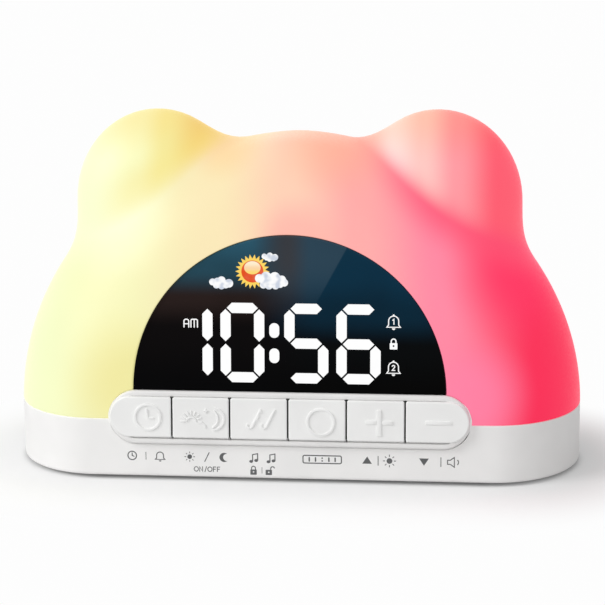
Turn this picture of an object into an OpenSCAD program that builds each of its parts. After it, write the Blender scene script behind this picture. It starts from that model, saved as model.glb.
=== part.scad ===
// Children's alarm clock with a bear-eared night light.
// Millimetres. Origin on the resting surface under the middle of the clock,
// +Z up, the display faces -Y.

/* [Base] */
// Width of the base and of the shade on it
body_w = 170; // [160:1:190]
// Depth of the base and of the shade on it
body_d = 63; // [61:1:72]
// Length of the rounded end at each side of the base
end_len = 27; // [22:1:28]
// Height of the base wall
base_h = 17.3; // [16.9:0.1:20]
// Wall of the base housing
wall = 2.2; // [1.8:0.1:2.4]
// Thickness of the deck that closes the base
deck_t = 2; // [1.6:0.1:2.1]
// Thickness of the bottom cover
floor_t = 2.6; // [2.5:0.1:2.8]
// Height of the locating rib that stands inside the shade
rib_h = 2; // [1:0.5:3]
// Thickness of the locating rib
rib_t = 1.2; // [1:0.1:1.6]
// Chamfer round the bottom edge of the base
base_chamfer = 0.8; // [0.4:0.1:1.2]

/* [Feet] */
// Height that the rubber feet stand out
foot_h = 1; // [0.6:0.1:1.6]
// Diameter of a rubber foot
foot_d = 10; // [8:0.5:11]
// Depth of the recess that holds a foot
foot_recess = 0.6; // [0.4:0.1:1]
// Distance of the feet from the middle, sideways
foot_x = 52; // [46:1:54]
// Distance of the feet from the middle, front to back
foot_y = 21; // [19:1:22]

/* [Shade] */
// Height of the shade's crown above the seam
head_h = 80.5; // [79:0.5:90]
// Thickness of the shade's wall
shade_wall = 2; // [1.6:0.1:2.2]
// Roundness of the shade seen from the front (2 is an ellipse)
side_power = 1.94; // [1.9:0.02:2.2]
// Roundness of the shade seen from the side (2 is an ellipse)
front_power = 3.6; // [3.3:0.1:4.2]
// How fast the rounded ends spread towards the crown
end_power = 1.2; // [1:0.1:1.6]
// Backward lean of the shade's front, in degrees
shade_lean = 1.15; // [0.8:0.05:1.5]
// Distance of each ear from the middle
ear_x = 42; // [39:1:45]
// How far the middle of the ears lies below the crown
ear_drop = 20; // [17:1:23]
// Radius of an ear seen from above
ear_r = 25; // [22:0.5:27]
// Height of an ear as a share of its width
ear_rise = 1.085; // [1:0.005:1.12]
// Depth of an ear, front to back, as a share of its width
ear_depth = 0.65; // [0.55:0.05:1]
// Size of the soft fillet between the ears and the head
ear_blend = 8.5; // [6:0.5:12]

/* [Display] */
// Backward tilt of the display and the keys, in degrees
front_tilt = 4; // [3:0.5:5]
// How far the tilted front stands before the base wall
front_stand = 0.2; // [0.1:0.1:0.5]
// Radius of the half-round window
window_r = 45.6; // [44:0.2:46.6]
// Thickness of the window
window_t = 1.5; // [1:0.1:2]
// Wall of the display frame
frame_wall = 1.6; // [1.2:0.1:2]
// Depth of the display frame
frame_d = 15; // [14:0.5:16]
// Width of the frame's sealing flange
flange_w = 3; // [2:0.5:3.5]
// Thickness of the sealing flange
flange_t = 1.2; // [1:0.1:1.6]
// Height of a digit
digit_h = 23.3; // [20:0.1:23.6]
// Width of a digit
digit_w = 12.8; // [11:0.1:13]
// Width of a segment
segment_w = 3; // [2:0.1:3.2]
// Distance from digit to digit within a pair
digit_pitch = 15.1; // [14.5:0.1:15.6]
// Middle of the colon, sideways
colon_x = -4; // [-6:0.5:-2]
// Distance from the colon to the middle of the digit beside it
colon_gap = 9.3; // [9:0.1:9.8]
// Height of the middle of the digits above the keys
digit_z = 22.4; // [21:0.1:23]
// Depth of the reflector block behind the window
reflector_d = 8; // [6:0.5:9]
// Thickness of the coloured weather film
film_t = 0.4; // [0.2:0.1:0.6]

/* [Keys] */
// Number of keys
key_count = 6; // [6:1:6]
// Distance from key to key
key_pitch = 17; // [16:0.5:17.5]
// Height of the row of keys
key_h = 12.5; // [11.5:0.5:13]
// Height of the middle of the keys above the seam
key_rise = 0.8; // [0.4:0.1:1.2]
// Gap between two keys
key_slit = 0.4; // [0.3:0.1:0.8]
// Gap between the keys and the bezel
key_gap = 0.25; // [0.15:0.05:0.3]
// Width of the bezel's rim round the keys
rim_w = 1.7; // [1.4:0.1:2]
// How far the bezel stands before the window
bezel_proud = 0.9; // [0.6:0.1:1.2]
// How far the keys stand before the bezel
key_proud = 0.7; // [0.4:0.1:1]
// Travel of a key
key_travel = 0.4; // [0.3:0.05:0.5]
// Thickness of a key's retaining lip
lip_t = 0.8; // [0.6:0.1:1]
// How far the lip reaches behind the rim
lip_w = 0.7; // [0.5:0.1:0.8]
// Diameter of a switch stem
stem_d = 3.4; // [3:0.1:3.6]
// Width of a switch body
switch_w = 6; // [5.5:0.1:6.5]
// Height of a switch body
switch_h = 3.5; // [3.2:0.1:3.6]
// Distance from the window's face to the switch board
button_board_at = 8; // [7.6:0.1:8.2]

/* [Electronics] */
// Thickness of a circuit board
board_t = 1.6; // [1:0.1:1.6]
// Width of the night-light board
light_w = 92; // [80:1:100]
// Depth of the night-light board
light_d = 18; // [16:1:20]
// Height of the posts under the night-light board
light_post_h = 6; // [5:0.5:8]
// Width of a coloured lamp
lamp_w = 5; // [3.5:0.5:5]
// Height of a coloured lamp
lamp_h = 1.6; // [1:0.1:2]
// Number of coloured lamps in a row
lamp_count = 5; // [4:1:5]
// Width of the main board
main_w = 30; // [28:1:31]
// Depth of the main board
main_d = 36; // [30:1:38]
// Height of the main board above the bottom cover
main_post_h = 4; // [3.5:0.5:4.5]
// Middle of the main board and the power inlet, sideways
main_x = 47; // [46:0.5:48]
// Width of the power inlet's shell
inlet_w = 9; // [8.9:0.1:9.2]
// Height of the power inlet's shell
inlet_h = 3.2; // [3.1:0.1:3.4]
// Length of the power inlet's shell
inlet_len = 7.4; // [7:0.1:9]

/* [Speaker] */
// Diameter of the speaker
speaker_d = 28; // [24:1:29]
// Middle of the speaker, sideways
speaker_x = -45; // [-46:0.5:-44]
// Middle of the speaker, front to back
speaker_y = 3; // [1:0.5:5]
// Depth of the speaker's basket
basket_h = 6; // [5:0.5:6.5]
// Height of the speaker's magnet
magnet_h = 4; // [3:0.5:4.5]
// Diameter of the speaker's magnet
magnet_d = 16; // [12:1:18]
// Diameter of a hole in the speaker grille
grille_hole_d = 1.8; // [1.2:0.1:2]
// Distance from hole to hole in the grille
grille_pitch = 3.2; // [3:0.1:3.5]

/* [Batteries] */
// Diameter of a battery cell
cell_d = 10.5; // [10.2:0.1:10.5]
// Length of a battery cell
cell_len = 44.5; // [43:0.5:45]
// Number of battery cells
cell_count = 3; // [2:1:3]
// Room round each cell
cell_gap = 0.3; // [0.2:0.05:0.3]
// Room for the spring at one end of a cell
spring_len = 5; // [4:0.5:6]
// Room for the contact at the other end of a cell
contact_len = 1.6; // [1.2:0.1:2]
// Wall of the battery bay
bay_wall = 1.2; // [1:0.1:1.4]
// Thickness of the battery door
door_t = 1.7; // [1.5:0.1:1.8]
// Width of the door's runner at each side
runner_w = 1.2; // [1:0.1:1.5]
// Thickness of the door's runner
runner_t = 0.8; // [0.7:0.1:0.9]

/* [Fasteners] */
// Diameter of a screw's shank
screw_d = 2.4; // [2:0.1:2.5]
// Diameter of a screw's head
head_d = 4.4; // [4:0.1:4.6]
// Height of a screw's head
head_t = 1.4; // [1:0.1:1.5]
// Diameter of a screw boss
boss_d = 6.6; // [6:0.1:7]

/* [Fits] */
// Gap between parts that are set into each other
fit = 0.2; // [0.15:0.05:0.25]
// Gap between a moving part and its guide
slide_fit = 0.15; // [0.1:0.05:0.2]
// Gap all round a moving switch stem
stem_fit = 0.05; // [0.03:0.01:0.08]

/* [Hidden] */
$fn = 64;

// How far a cut runs past a face, and the overlap that joins two solids
past = 1;
join = 0.01;

// Heights above the resting surface
seam_z = foot_h + base_h;
deck_z = seam_z - deck_t;
floor_z = foot_h + floor_t;
key_z = seam_z + key_rise;
light_z = seam_z + light_post_h;
main_z = floor_z + main_post_h;

// Height of the middle of the ears above the seam
ear_z = head_h - ear_drop;

// The tilted front
front_y = -body_d/2 - front_stand;
bezel_h = key_h + 2*rim_w;
bezel_w = key_count*key_pitch + 2*rim_w;
bezel_depth = button_board_at;
bezel_shell = rim_w - lip_w - key_gap + fit/2;
window_gap = 0.1;
window_z = bezel_h/2 + window_gap;
key_face = -bezel_proud - key_proud;
lip_at = key_travel/2;
lip_gap = 0.02;
stem_pad_w = 0.5;
stem_room = 0.2;
stem_out = 0.9;
stem_face = button_board_at - switch_h - stem_out;
stem_in = 0.8;

// The whole clock is placed with its depth halved by the origin
keys_front = front_y + key_face*cos(front_tilt) - (key_h/2 - key_gap)*sin(front_tilt);
place_y = -(keys_front + body_d/2)/2;

// The display behind the window
frame_r = window_r - fit;
pocket_r = frame_r - frame_wall;
film_gap = 0.3;
reflector_rim = 1.2;
reflector_at = window_t + film_t + film_gap;
reflector_bottom = window_z + frame_wall + fit;
reflector_top = digit_z + digit_h/2 + reflector_rim;
reflector_half_w = pocket_r*cos(asin((reflector_top - window_z)/pocket_r)) - fit;
board_at = reflector_at + reflector_d;
segment_gap = 0.5;
guide_gap = 0.5;
colon_w = 2.9;
colon_h = 4.3;
colon_rise = 3.7;
mark_out = 24.4;
mark_x = colon_x - mark_out;
mark_rise = 5.5;
mark_w = 4.4;
mark_h = 2.4;
bell_out = 34.5;
bell_x = colon_x + bell_out;
bell_rise = 6.7;
bell_w = 4.2;
lock_w = 2.4;
lock_h = 3.3;
film_w = 26;
film_out = 7;
film_x = colon_x - film_out;
flange_gap = 0.3;
flange_top = window_z + frame_r + flange_w;
flange_at = flange_gap
    + (-front_reach(0, key_rise + flange_top*cos(front_tilt), shade_wall) - front_y
        - flange_top*sin(front_tilt))/cos(front_tilt);
leg_x = 36;
leg_w = 8;
leg_gap = 1;
leg_below = 15;
leg_at = button_board_at + board_t + leg_gap;
leg_d = frame_d - leg_at;
leg_screw_y = leg_at + leg_d/2;
head_gap = 0.05;
leg_screw_z = (deck_z - key_z + leg_screw_y*sin(front_tilt))/cos(front_tilt)
    - head_d/2*tan(front_tilt) - head_gap;

// Battery bay and door
bay_x = cell_len + spring_len + contact_len;
bay_y = cell_count*(cell_d + cell_gap);
bay_clear = 0.9;
bay_back = body_d/2 - wall - bay_wall - bay_clear;
bay_front = bay_back - bay_y;
door_top = foot_h + door_t;
cell_z = door_top + cell_gap/2 + cell_d/2;
bay_top = cell_z + cell_d/2 + cell_gap;
door_side_lap = 0.8;
door_front_lap = 1;
door_half_w = bay_x/2 + door_side_lap;
door_front = bay_front - door_front_lap;
door_back = body_d/2 - base_chamfer;
runner_z = door_top - runner_t;
cell_shift = (spring_len - contact_len)/2;

// Screws: clear holes, the holes that they bite into, the slots in their heads, and their places
clear_d = screw_d + 0.4;
pilot_d = screw_d + 0.1;
head_hole_d = head_d + 0.4;
slot_w = 0.6;
slot_t = 0.7;
case_in = 13;
case_bite = 6;
leg_bite = 7;
head_sink = 0.2;
hole_edge = 4;
case_x = body_w/2 - end_len + case_in;
case_y = 11;
light_x = light_w/2 - hole_edge;
light_y0 = -7;
light_mid_y = light_y0 + light_d/2;
light_hole_y = light_d/2 - hole_edge;
main_clear = 2.4;
main_mid_y = body_d/2 - wall - main_clear - main_d/2;
main_hole_x = main_x + main_w/2 - hole_edge;
main_hole_y = main_d/2 - hole_edge;
main_top = main_z + board_t;
inlet_sink = 0.4;
inlet_z = main_top + inlet_h/2;
inlet_back = body_d/2 - inlet_sink;

// The shade's ends narrow over the height of the rib, and the rib keeps clear of them
rib_inset = shade_wall + fit + end_narrowing(rib_h);

// Ribbon and lead sockets on the main board
socket_w = 4;
socket_len = 6;
socket_h = 4;
socket_edge = 1;
power_socket_at = 2;
light_socket_at = 10;
socket_x = main_x - main_w/2 + socket_edge + socket_w/2;
power_socket_y = main_mid_y + power_socket_at;
light_socket_y = main_mid_y + light_socket_at;
ribbon_w = 8;
ribbon_t = 0.5;
ribbon_edge = 0.5;
ribbon_clear = 2.2;
ribbon_lap = 2;
ribbon_drop = 10;
ribbon_stand = 2.5;
ribbon_room = 2;
lead_hole_d = 7;
ribbon_x = main_x - main_w/2 + ribbon_edge + ribbon_w/2;
ribbon_at = frame_d + ribbon_clear;
ribbon_y = front_y + ribbon_at*cos(front_tilt);
ribbon_end_y = main_mid_y - main_d/2 + ribbon_lap;

// Parts on the main board
chip_w = 10;
chip_t = 1.6;
chip_x = main_x - 4;
chip_y = main_mid_y - 1;
driver_w = 8;
driver_d = 5;
driver_t = 1.5;
driver_x = main_x - 6;
driver_y = main_mid_y - 12.5;
capacitor_d = 5;
capacitor_h = 4.5;
capacitor_x = main_x + 7;
capacitor_pitch = 7;

// Seat and grille of the speaker, and the floor under the board's posts
speaker_wall = 1.2;
speaker_wall_h = 2;
grille_edge = 3;
post_floor = 1.5;

// Lamps on their board
lamp_margin = 5;
lamp_row = 4;
lamp_rim = 0.8;

// Shade mesh
columns = 64;
rows = 36;
pill_columns = 8;
reach_steps = 14;

KEY_NAMES = ["time", "sun_moon", "tunes", "display", "up", "down"];
SEGMENTS_ALL = [0, 1, 2, 3, 4, 5, 6];
SEGMENTS_ONE = [1, 2];
DIGITS = [
    [colon_x - colon_gap - digit_pitch, SEGMENTS_ONE],
    [colon_x - colon_gap, SEGMENTS_ALL],
    [colon_x + colon_gap, SEGMENTS_ALL],
    [colon_x + colon_gap + digit_pitch, SEGMENTS_ALL]
];

// ---------------------------------------------------------------- outlines

// Outline of the base seen from above, set in by a distance
function plan_points(inset) =
    let(rx = end_len - inset, ry = body_d/2 - inset, cx = body_w/2 - end_len)
    [for (quarter = [0 : 3], step = [0 : 15])
        let(a = 90*quarter + 6*step,
            side = (quarter == 0 || quarter == 3) ? 1 : -1)
        [side*cx + rx*cos(a), ry*sin(a)]];

module plan(inset) {
    polygon(plan_points(inset));
}

// Solid with the base's outline between two heights
module plan_slab(inset, z0, z1) {
    translate([0, 0, z0])
        linear_extrude(z1 - z0)
            plan(inset);
}

// A bar with round ends
module pill(w, h) {
    square([w - h, h], center = true);
    for (side = [-1, 1])
        translate([side*(w - h)/2, 0])
            circle(d = h);
}

// Half a disc standing on its flat side
module half_disc(r) {
    intersection() {
        circle(r, $fn = 128);
        translate([-r, 0])
            square([2*r, r]);
    }
}

// Places the children on the tilted front: X sideways, Z up the face and Y into the clock
module on_front() {
    translate([0, front_y, key_z])
        rotate([-front_tilt, 0, 0])
            children();
}

// Thickens a drawing on the front between two depths
module slab(y0, y1) {
    translate([0, y1, 0])
        rotate([90, 0, 0])
            linear_extrude(y1 - y0)
                children();
}

// Box between two corners
module box(low, high) {
    translate(low)
        cube(high - low);
}

// Copies the children to every mix of +-x and +-y
module four(x, y) {
    for (sx = [-1, 1], sy = [-1, 1])
        translate([sx*x, sy*y, 0])
            children();
}

// ---------------------------------------------------------------- shade

function side_half(z, inset) =
    (body_w/2 - inset)
    * pow(max(1 - pow(min(z/(head_h - inset), 1), side_power), 0), 1/side_power);

function front_half(z, inset) =
    (body_d/2 - inset - z*tan(shade_lean))
    * pow(max(1 - pow(min(z/(head_h - inset), 1), front_power), 0), 1/front_power);

// Distance of the head's front from the middle plane, at a place on the front
function front_reach(x, z, inset) =
    let(w = side_half(z, inset),
        rx = min(w, end_len - inset + (w - end_len + inset)*pow(z/(head_h - inset), end_power)),
        u = max(abs(x) - (w - rx), 0)/max(rx, 0.001))
    u < 1 ? front_half(z, inset)*sqrt(1 - u*u) : -1;

// How far the rounded ends have moved in at a height
function end_narrowing(z) =
    let(u = 0.65)
    body_d/2*sqrt(1 - u*u) - front_reach(body_w/2 - (1 - u)*end_len, z, 0);

function in_head(p, inset) =
    p.z < head_h - inset && abs(p.y) < front_reach(p.x, p.z, inset);

// Distance from the seam's middle to the head's skin along a direction, by halving
function head_reach(u, inset, near, far, steps) =
    let(middle = (near + far)/2)
    steps == 0 ? middle
    : in_head(middle*u, inset) ? head_reach(u, inset, middle, far, steps - 1)
    : head_reach(u, inset, near, middle, steps - 1);

// Depth of an ear's outer or inner skin as a share of its width
function ear_flat(inset) = (ear_r*ear_depth - inset)/(ear_r - inset);

function ear_distance(p, inset) =
    norm([abs(p.x) - ear_x, p.y/ear_flat(inset), (p.z - ear_z)/ear_rise]) - (ear_r - inset);

// How far along a direction from the seam's middle an ear's middle is nearest
function ear_pass(u, inset) =
    (abs(u.x)*ear_x + u.z*ear_z/pow(ear_rise, 2))
    / (pow(u.x, 2) + pow(u.y/ear_flat(inset), 2) + pow(u.z/ear_rise, 2));

// Below zero inside the softly joined head and ears
function skin_distance(u, r, head_r, inset) =
    let(a = r - head_r,
        b = ear_distance(r*u, inset),
        h = max(ear_blend - abs(a - b), 0))
    min(a, b) - h*h/(4*ear_blend);

function halve_skin(u, head_r, inset, near, far, steps) =
    let(middle = (near + far)/2)
    steps == 0 ? middle
    : skin_distance(u, middle, head_r, inset) < 0
        ? halve_skin(u, head_r, inset, middle, far, steps - 1)
    : halve_skin(u, head_r, inset, near, middle, steps - 1);

function skin_reach(u, inset) =
    let(head_r = head_reach(u, inset, body_d/4, body_w/2 + head_h/4, reach_steps),
        near = max(head_r, ear_pass(u, inset)))
    ear_distance(near*u, inset) > ear_blend ? head_r
    : skin_distance(u, near, head_r, inset) < 0
        ? halve_skin(u, head_r, inset, near, near + ear_r*ear_rise + ear_blend, reach_steps)
    : halve_skin(u, head_r, inset, head_r, near, reach_steps);

// The edge of the shade's opening follows the bezel's round ends and the window
opening_r = window_r + fit;
bezel_r = bezel_h/2 + fit;
bezel_c = (bezel_w - bezel_h)/2;
seam_angle = -asin(key_rise/bezel_r);
join_angle = acos((opening_r - bezel_c)/bezel_r);
arc_angle = asin((bezel_r*sin(join_angle) - window_z)/opening_r);

function opening_point(column) =
    let(last = columns - pill_columns)
    column <= pill_columns
        ? let(a = seam_angle + (join_angle - seam_angle)*column/pill_columns)
            [-bezel_c - bezel_r*cos(a), bezel_r*sin(a)]
    : column >= last
        ? let(a = seam_angle + (join_angle - seam_angle)*(columns - column)/pill_columns)
            [bezel_c + bezel_r*cos(a), bezel_r*sin(a)]
    : let(a = 180 - arc_angle
            - (180 - 2*arc_angle)*(column - pill_columns)/(last - pill_columns))
        [opening_r*cos(a), window_z + opening_r*sin(a)];

// Where a column of the mesh starts, on the edge of the opening
function column_start(column, inset) =
    let(p = opening_point(column),
        z = (column == 0 || column == columns) ? 0 : key_rise + p.y*cos(front_tilt))
    [p.x, -front_reach(p.x, z, inset), z];

// Directions run from the opening over the crown to the seam at the back
function skin_point(column, row, inset) =
    let(start = column_start(column, inset),
        a = 180 - 180*column/columns,
        flat = (column == 0 || column == columns) ? 0 : sin(a),
        over = 1.3*body_w/2*[cos(a), 0, flat],
        back = [0.7*body_w/2*cos(a), body_d/2, 0],
        t = row/rows,
        d = (1 - t)*(1 - t)*start + 2*t*(1 - t)*over + t*t*back,
        u = d/norm(d))
    row == 0 ? start : skin_reach(u, inset)*u;

function skin_index(column, row, layer) =
    layer*(columns + 1)*(rows + 1) + column*(rows + 1) + row;

function quad(a, b, c, d) = [[a, b, c], [a, c, d]];

module night_light_shade() {
    points = [for (layer = [0, 1], column = [0 : columns], row = [0 : rows])
        skin_point(column, row, layer*shade_wall)];
    outer = [for (column = [0 : columns - 1], row = [0 : rows - 1])
        each quad(skin_index(column, row, 0), skin_index(column, row + 1, 0),
                  skin_index(column + 1, row + 1, 0), skin_index(column + 1, row, 0))];
    inner = [for (column = [0 : columns - 1], row = [0 : rows - 1])
        each quad(skin_index(column, row, 1), skin_index(column + 1, row, 1),
                  skin_index(column + 1, row + 1, 1), skin_index(column, row + 1, 1))];
    opening_edge = [for (column = [0 : columns - 1])
        each quad(skin_index(column, 0, 0), skin_index(column + 1, 0, 0),
                  skin_index(column + 1, 0, 1), skin_index(column, 0, 1))];
    back_edge = [for (column = [0 : columns - 1])
        each quad(skin_index(column, rows, 0), skin_index(column, rows, 1),
                  skin_index(column + 1, rows, 1), skin_index(column + 1, rows, 0))];
    left_edge = [for (row = [0 : rows - 1])
        each quad(skin_index(0, row, 0), skin_index(0, row, 1),
                  skin_index(0, row + 1, 1), skin_index(0, row + 1, 0))];
    right_edge = [for (row = [0 : rows - 1])
        each quad(skin_index(columns, row, 0), skin_index(columns, row + 1, 0),
                  skin_index(columns, row + 1, 1), skin_index(columns, row, 1))];
    color("moccasin")
        translate([0, 0, seam_z])
            polyhedron(points,
                concat(back_edge, outer, inner, opening_edge, left_edge, right_edge));
}

// ---------------------------------------------------------------- base

module base_wall() {
    difference() {
        union() {
            plan_slab(0, foot_h + base_chamfer, seam_z);
            hull() {
                plan_slab(base_chamfer, foot_h, foot_h + base_chamfer);
                plan_slab(0, foot_h + base_chamfer, foot_h + base_chamfer + join);
            }
        }
        plan_slab(wall, foot_h - past, seam_z + past);
    }
}

module shade_rib() {
    difference() {
        plan_slab(rib_inset, deck_z, seam_z + rib_h);
        plan_slab(rib_inset + rib_t, deck_z - past, seam_z + rib_h + past);
    }
}

module base_housing() {
    pocket_back = front_y + leg_at - window_gap - fit;
    color("white")
        difference() {
            union() {
                base_wall();
                plan_slab(wall/2, deck_z, seam_z);
                shade_rib();
                four(case_x, case_y)
                    box([-boss_d/2, -boss_d/2, floor_z], [boss_d/2, boss_d/2, deck_z + deck_t/2]);
                for (side = [-1, 1], end = [-1, 1])
                    translate([side*light_x, light_mid_y + end*light_hole_y, deck_z])
                        cylinder(d = boss_d, h = light_z - deck_z);
            }
            // seat of the bezel in the front wall, and the room behind it
            on_front()
                slab(-bezel_depth, bezel_depth + board_t + fit)
                    pill(bezel_w + 2*fit, bezel_h + 2*fit);
            box([-bezel_w/2 - fit, -body_d/2 + wall, deck_z - past],
                [bezel_w/2 + fit, pocket_back, seam_z + rib_h + past]);
            // screw holes
            four(case_x, case_y)
                translate([0, 0, floor_z - past])
                    cylinder(d = pilot_d, h = base_h - floor_t - deck_t);
            for (side = [-1, 1], end = [-1, 1])
                translate([side*light_x, light_mid_y + end*light_hole_y, seam_z - past/2])
                    cylinder(d = pilot_d, h = light_post_h + past);
            for (side = [-1, 1])
                on_front()
                    translate([side*leg_x, leg_screw_y, -leg_below])
                        cylinder(d = clear_d, h = leg_below + rib_h + 3*past);
            // ways through the deck for the lamp lead and the ribbon
            translate([socket_x, light_socket_y, deck_z - past])
                cylinder(d = lead_hole_d, h = deck_t + 2*past);
            box([ribbon_x - ribbon_w/2 - ribbon_room, ribbon_y - ribbon_room, deck_z - past],
                [ribbon_x + ribbon_w/2 + ribbon_room, ribbon_y + ribbon_t + ribbon_room, seam_z + past]);
            // mouth of the power inlet
            translate([main_x, body_d/2 - wall - past, inlet_z])
                rotate([-90, 0, 0])
                    linear_extrude(wall + 2*past)
                        pill(inlet_w + 2*fit, inlet_h + 2*fit);
            // way out of the battery door
            box([-door_half_w - runner_w - slide_fit, body_d/2 - wall - past, foot_h - past],
                [door_half_w + runner_w + slide_fit, body_d/2 + past, door_top + slide_fit]);
        }
}

module bottom_cover() {
    color("white")
        difference() {
            union() {
                plan_slab(wall + fit, foot_h, floor_z);
                box([-bay_x/2 - bay_wall, bay_front - bay_wall, foot_h],
                    [bay_x/2 + bay_wall, bay_back + bay_wall, bay_top + bay_wall]);
                translate([speaker_x, speaker_y, foot_h])
                    cylinder(d = speaker_d + 2*fit + 2*speaker_wall, h = floor_t + speaker_wall_h);
                for (end = [-1, 1])
                    translate([main_hole_x, main_mid_y + end*main_hole_y, foot_h])
                        cylinder(d = boss_d, h = main_z - foot_h);
            }
            // battery bay
            box([-bay_x/2, bay_front, foot_h - past], [bay_x/2, bay_back, bay_top]);
            // opening and runner slots of the door
            box([-door_half_w - slide_fit, door_front - slide_fit, foot_h - past],
                [door_half_w + slide_fit, door_back + past, door_top + slide_fit]);
            box([-door_half_w - runner_w - slide_fit, door_front - slide_fit, runner_z - slide_fit],
                [door_half_w + runner_w + slide_fit, door_back + past, door_top + slide_fit]);
            // speaker seat and grille
            translate([speaker_x, speaker_y, floor_z])
                cylinder(d = speaker_d + 2*fit, h = speaker_wall_h + past);
            translate([speaker_x, speaker_y, foot_h - past])
                speaker_grille();
            // feet
            four(foot_x, foot_y)
                translate([0, 0, foot_h - past])
                    cylinder(d = foot_d + 2*fit, h = past + foot_recess);
            // screw holes
            four(case_x, case_y)
                translate([0, 0, foot_h - past])
                    cylinder(d = clear_d, h = floor_t + 2*past);
            four(case_x, case_y)
                translate([0, 0, foot_h - past])
                    cylinder(d = head_hole_d, h = past + head_t + head_sink);
            for (end = [-1, 1])
                translate([main_hole_x, main_mid_y + end*main_hole_y, foot_h + post_floor])
                    cylinder(d = pilot_d, h = main_z);
        }
}

// Holes on a grid of equilateral triangles, inside a circle
module speaker_grille() {
    ring = speaker_d/2 - grille_edge;
    span = ceil(ring/grille_pitch);
    for (i = [-2*span : 2*span], j = [-span : span]) {
        x = grille_pitch*(i + j/2);
        y = grille_pitch*j*sin(60);
        if (norm([x, y]) < ring)
            translate([x, y, 0])
                cylinder(d = grille_hole_d, h = floor_t + 2*past, $fn = 24);
    }
}

module battery_door() {
    groove_pitch = 2;
    groove_count = 5;
    groove_d = 0.9;
    groove_len = 18;
    groove_at = 12;
    color("white")
        difference() {
            union() {
                box([-door_half_w, door_front, foot_h], [door_half_w, door_back, door_top]);
                box([-door_half_w - runner_w, door_front, runner_z],
                    [door_half_w + runner_w, door_back - wall, door_top]);
            }
            // finger grooves
            for (i = [0 : groove_count - 1])
                translate([-groove_len/2, door_back - groove_at + groove_pitch*i, foot_h])
                    rotate([0, 90, 0])
                        cylinder(d = groove_d, h = groove_len, $fn = 24);
        }
}

module rubber_feet() {
    color("dimgray")
        four(foot_x, foot_y)
            cylinder(d = foot_d, h = foot_h + foot_recess);
}

// ---------------------------------------------------------------- display

module display_window() {
    color([0.03, 0.04, 0.06])
        on_front()
            slab(0, window_t)
                translate([0, window_z])
                    half_disc(window_r);
}

module display_frame() {
    color([0.1, 0.1, 0.11])
        difference() {
            on_front()
                difference() {
                    union() {
                        slab(window_t, frame_d)
                            translate([0, window_z])
                                half_disc(frame_r);
                        slab(flange_at, flange_at + flange_t)
                            translate([0, window_z])
                                half_disc(frame_r + flange_w);
                        for (side = [-1, 1])
                            box([side*leg_x - leg_w/2, leg_at, -leg_below],
                                [side*leg_x + leg_w/2, frame_d, window_z + frame_wall]);
                    }
                    // room for the display
                    slab(window_t - past, frame_d + past)
                        translate([0, window_z + frame_wall])
                            half_disc(pocket_r - frame_wall/2);
                    // screw holes in the legs
                    for (side = [-1, 1])
                        translate([side*leg_x, leg_screw_y, -leg_below])
                            cylinder(d = pilot_d, h = leg_below + window_z - past);
                }
            box([-body_w/2, -body_d/2, 0], [body_w/2, body_d/2, seam_z]);
        }
}

// Hexagonal bar with pointed ends
module segment_bar(len, w) {
    polygon([[-len/2, 0], [-len/2 + w/2, w/2], [len/2 - w/2, w/2],
             [len/2, 0], [len/2 - w/2, -w/2], [-len/2 + w/2, -w/2]]);
}

// Seven segments in the usual order: top, upper right, lower right, bottom,
// lower left, upper left, middle
module digit(segments, grow) {
    w = segment_w + 2*grow;
    dx = (digit_w - segment_w)/2;
    dz = (digit_h - segment_w)/2;
    across = 2*dx - segment_gap + 2*grow;
    along = dz - segment_gap + 2*grow;
    for (s = segments) {
        if (s == 0 || s == 3 || s == 6)
            translate([0, s == 0 ? dz : s == 3 ? -dz : 0])
                segment_bar(across, w);
        else
            translate([(s == 1 || s == 2) ? dx : -dx, (s == 1 || s == 5) ? dz/2 : -dz/2])
                rotate(90)
                    segment_bar(along, w);
    }
}

module display_lights(grow) {
    for (d = DIGITS)
        translate([d[0], digit_z])
            digit(d[1], grow);
    // colon
    for (side = [-1, 1])
        translate([colon_x, digit_z + side*colon_rise])
            square([colon_w + 2*grow, colon_h + 2*grow], center = true);
    // morning mark, two bells and a padlock
    translate([mark_x, digit_z + mark_rise])
        square([mark_w + 2*grow, mark_h + 2*grow], center = true);
    for (side = [-1, 1])
        translate([bell_x, digit_z + side*bell_rise])
            square(bell_w + 2*grow, center = true);
    translate([bell_x, digit_z])
        square([lock_w + 2*grow, lock_h + 2*grow], center = true);
}

module digit_reflector() {
    color("gainsboro")
        on_front()
            slab(reflector_at, board_at)
                difference() {
                    translate([-reflector_half_w, reflector_bottom])
                        square([2*reflector_half_w, reflector_top - reflector_bottom]);
                    display_lights(fit/2);
                }
}

module digit_segments() {
    color("white")
        on_front()
            slab(reflector_at, board_at - guide_gap)
                display_lights(0);
}

module weather_film() {
    color("orange")
        on_front()
            slab(window_t, window_t + film_t)
                intersection() {
                    translate([film_x - film_w/2, reflector_top + fit])
                        square([film_w, window_r]);
                    translate([0, window_z + frame_wall])
                        half_disc(pocket_r - frame_wall/2 - fit);
                }
}

module display_board() {
    color("darkgreen")
        on_front()
            slab(board_at, board_at + board_t)
                translate([0, window_z + frame_wall])
                    half_disc(pocket_r - frame_wall/2 - fit);
}

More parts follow.
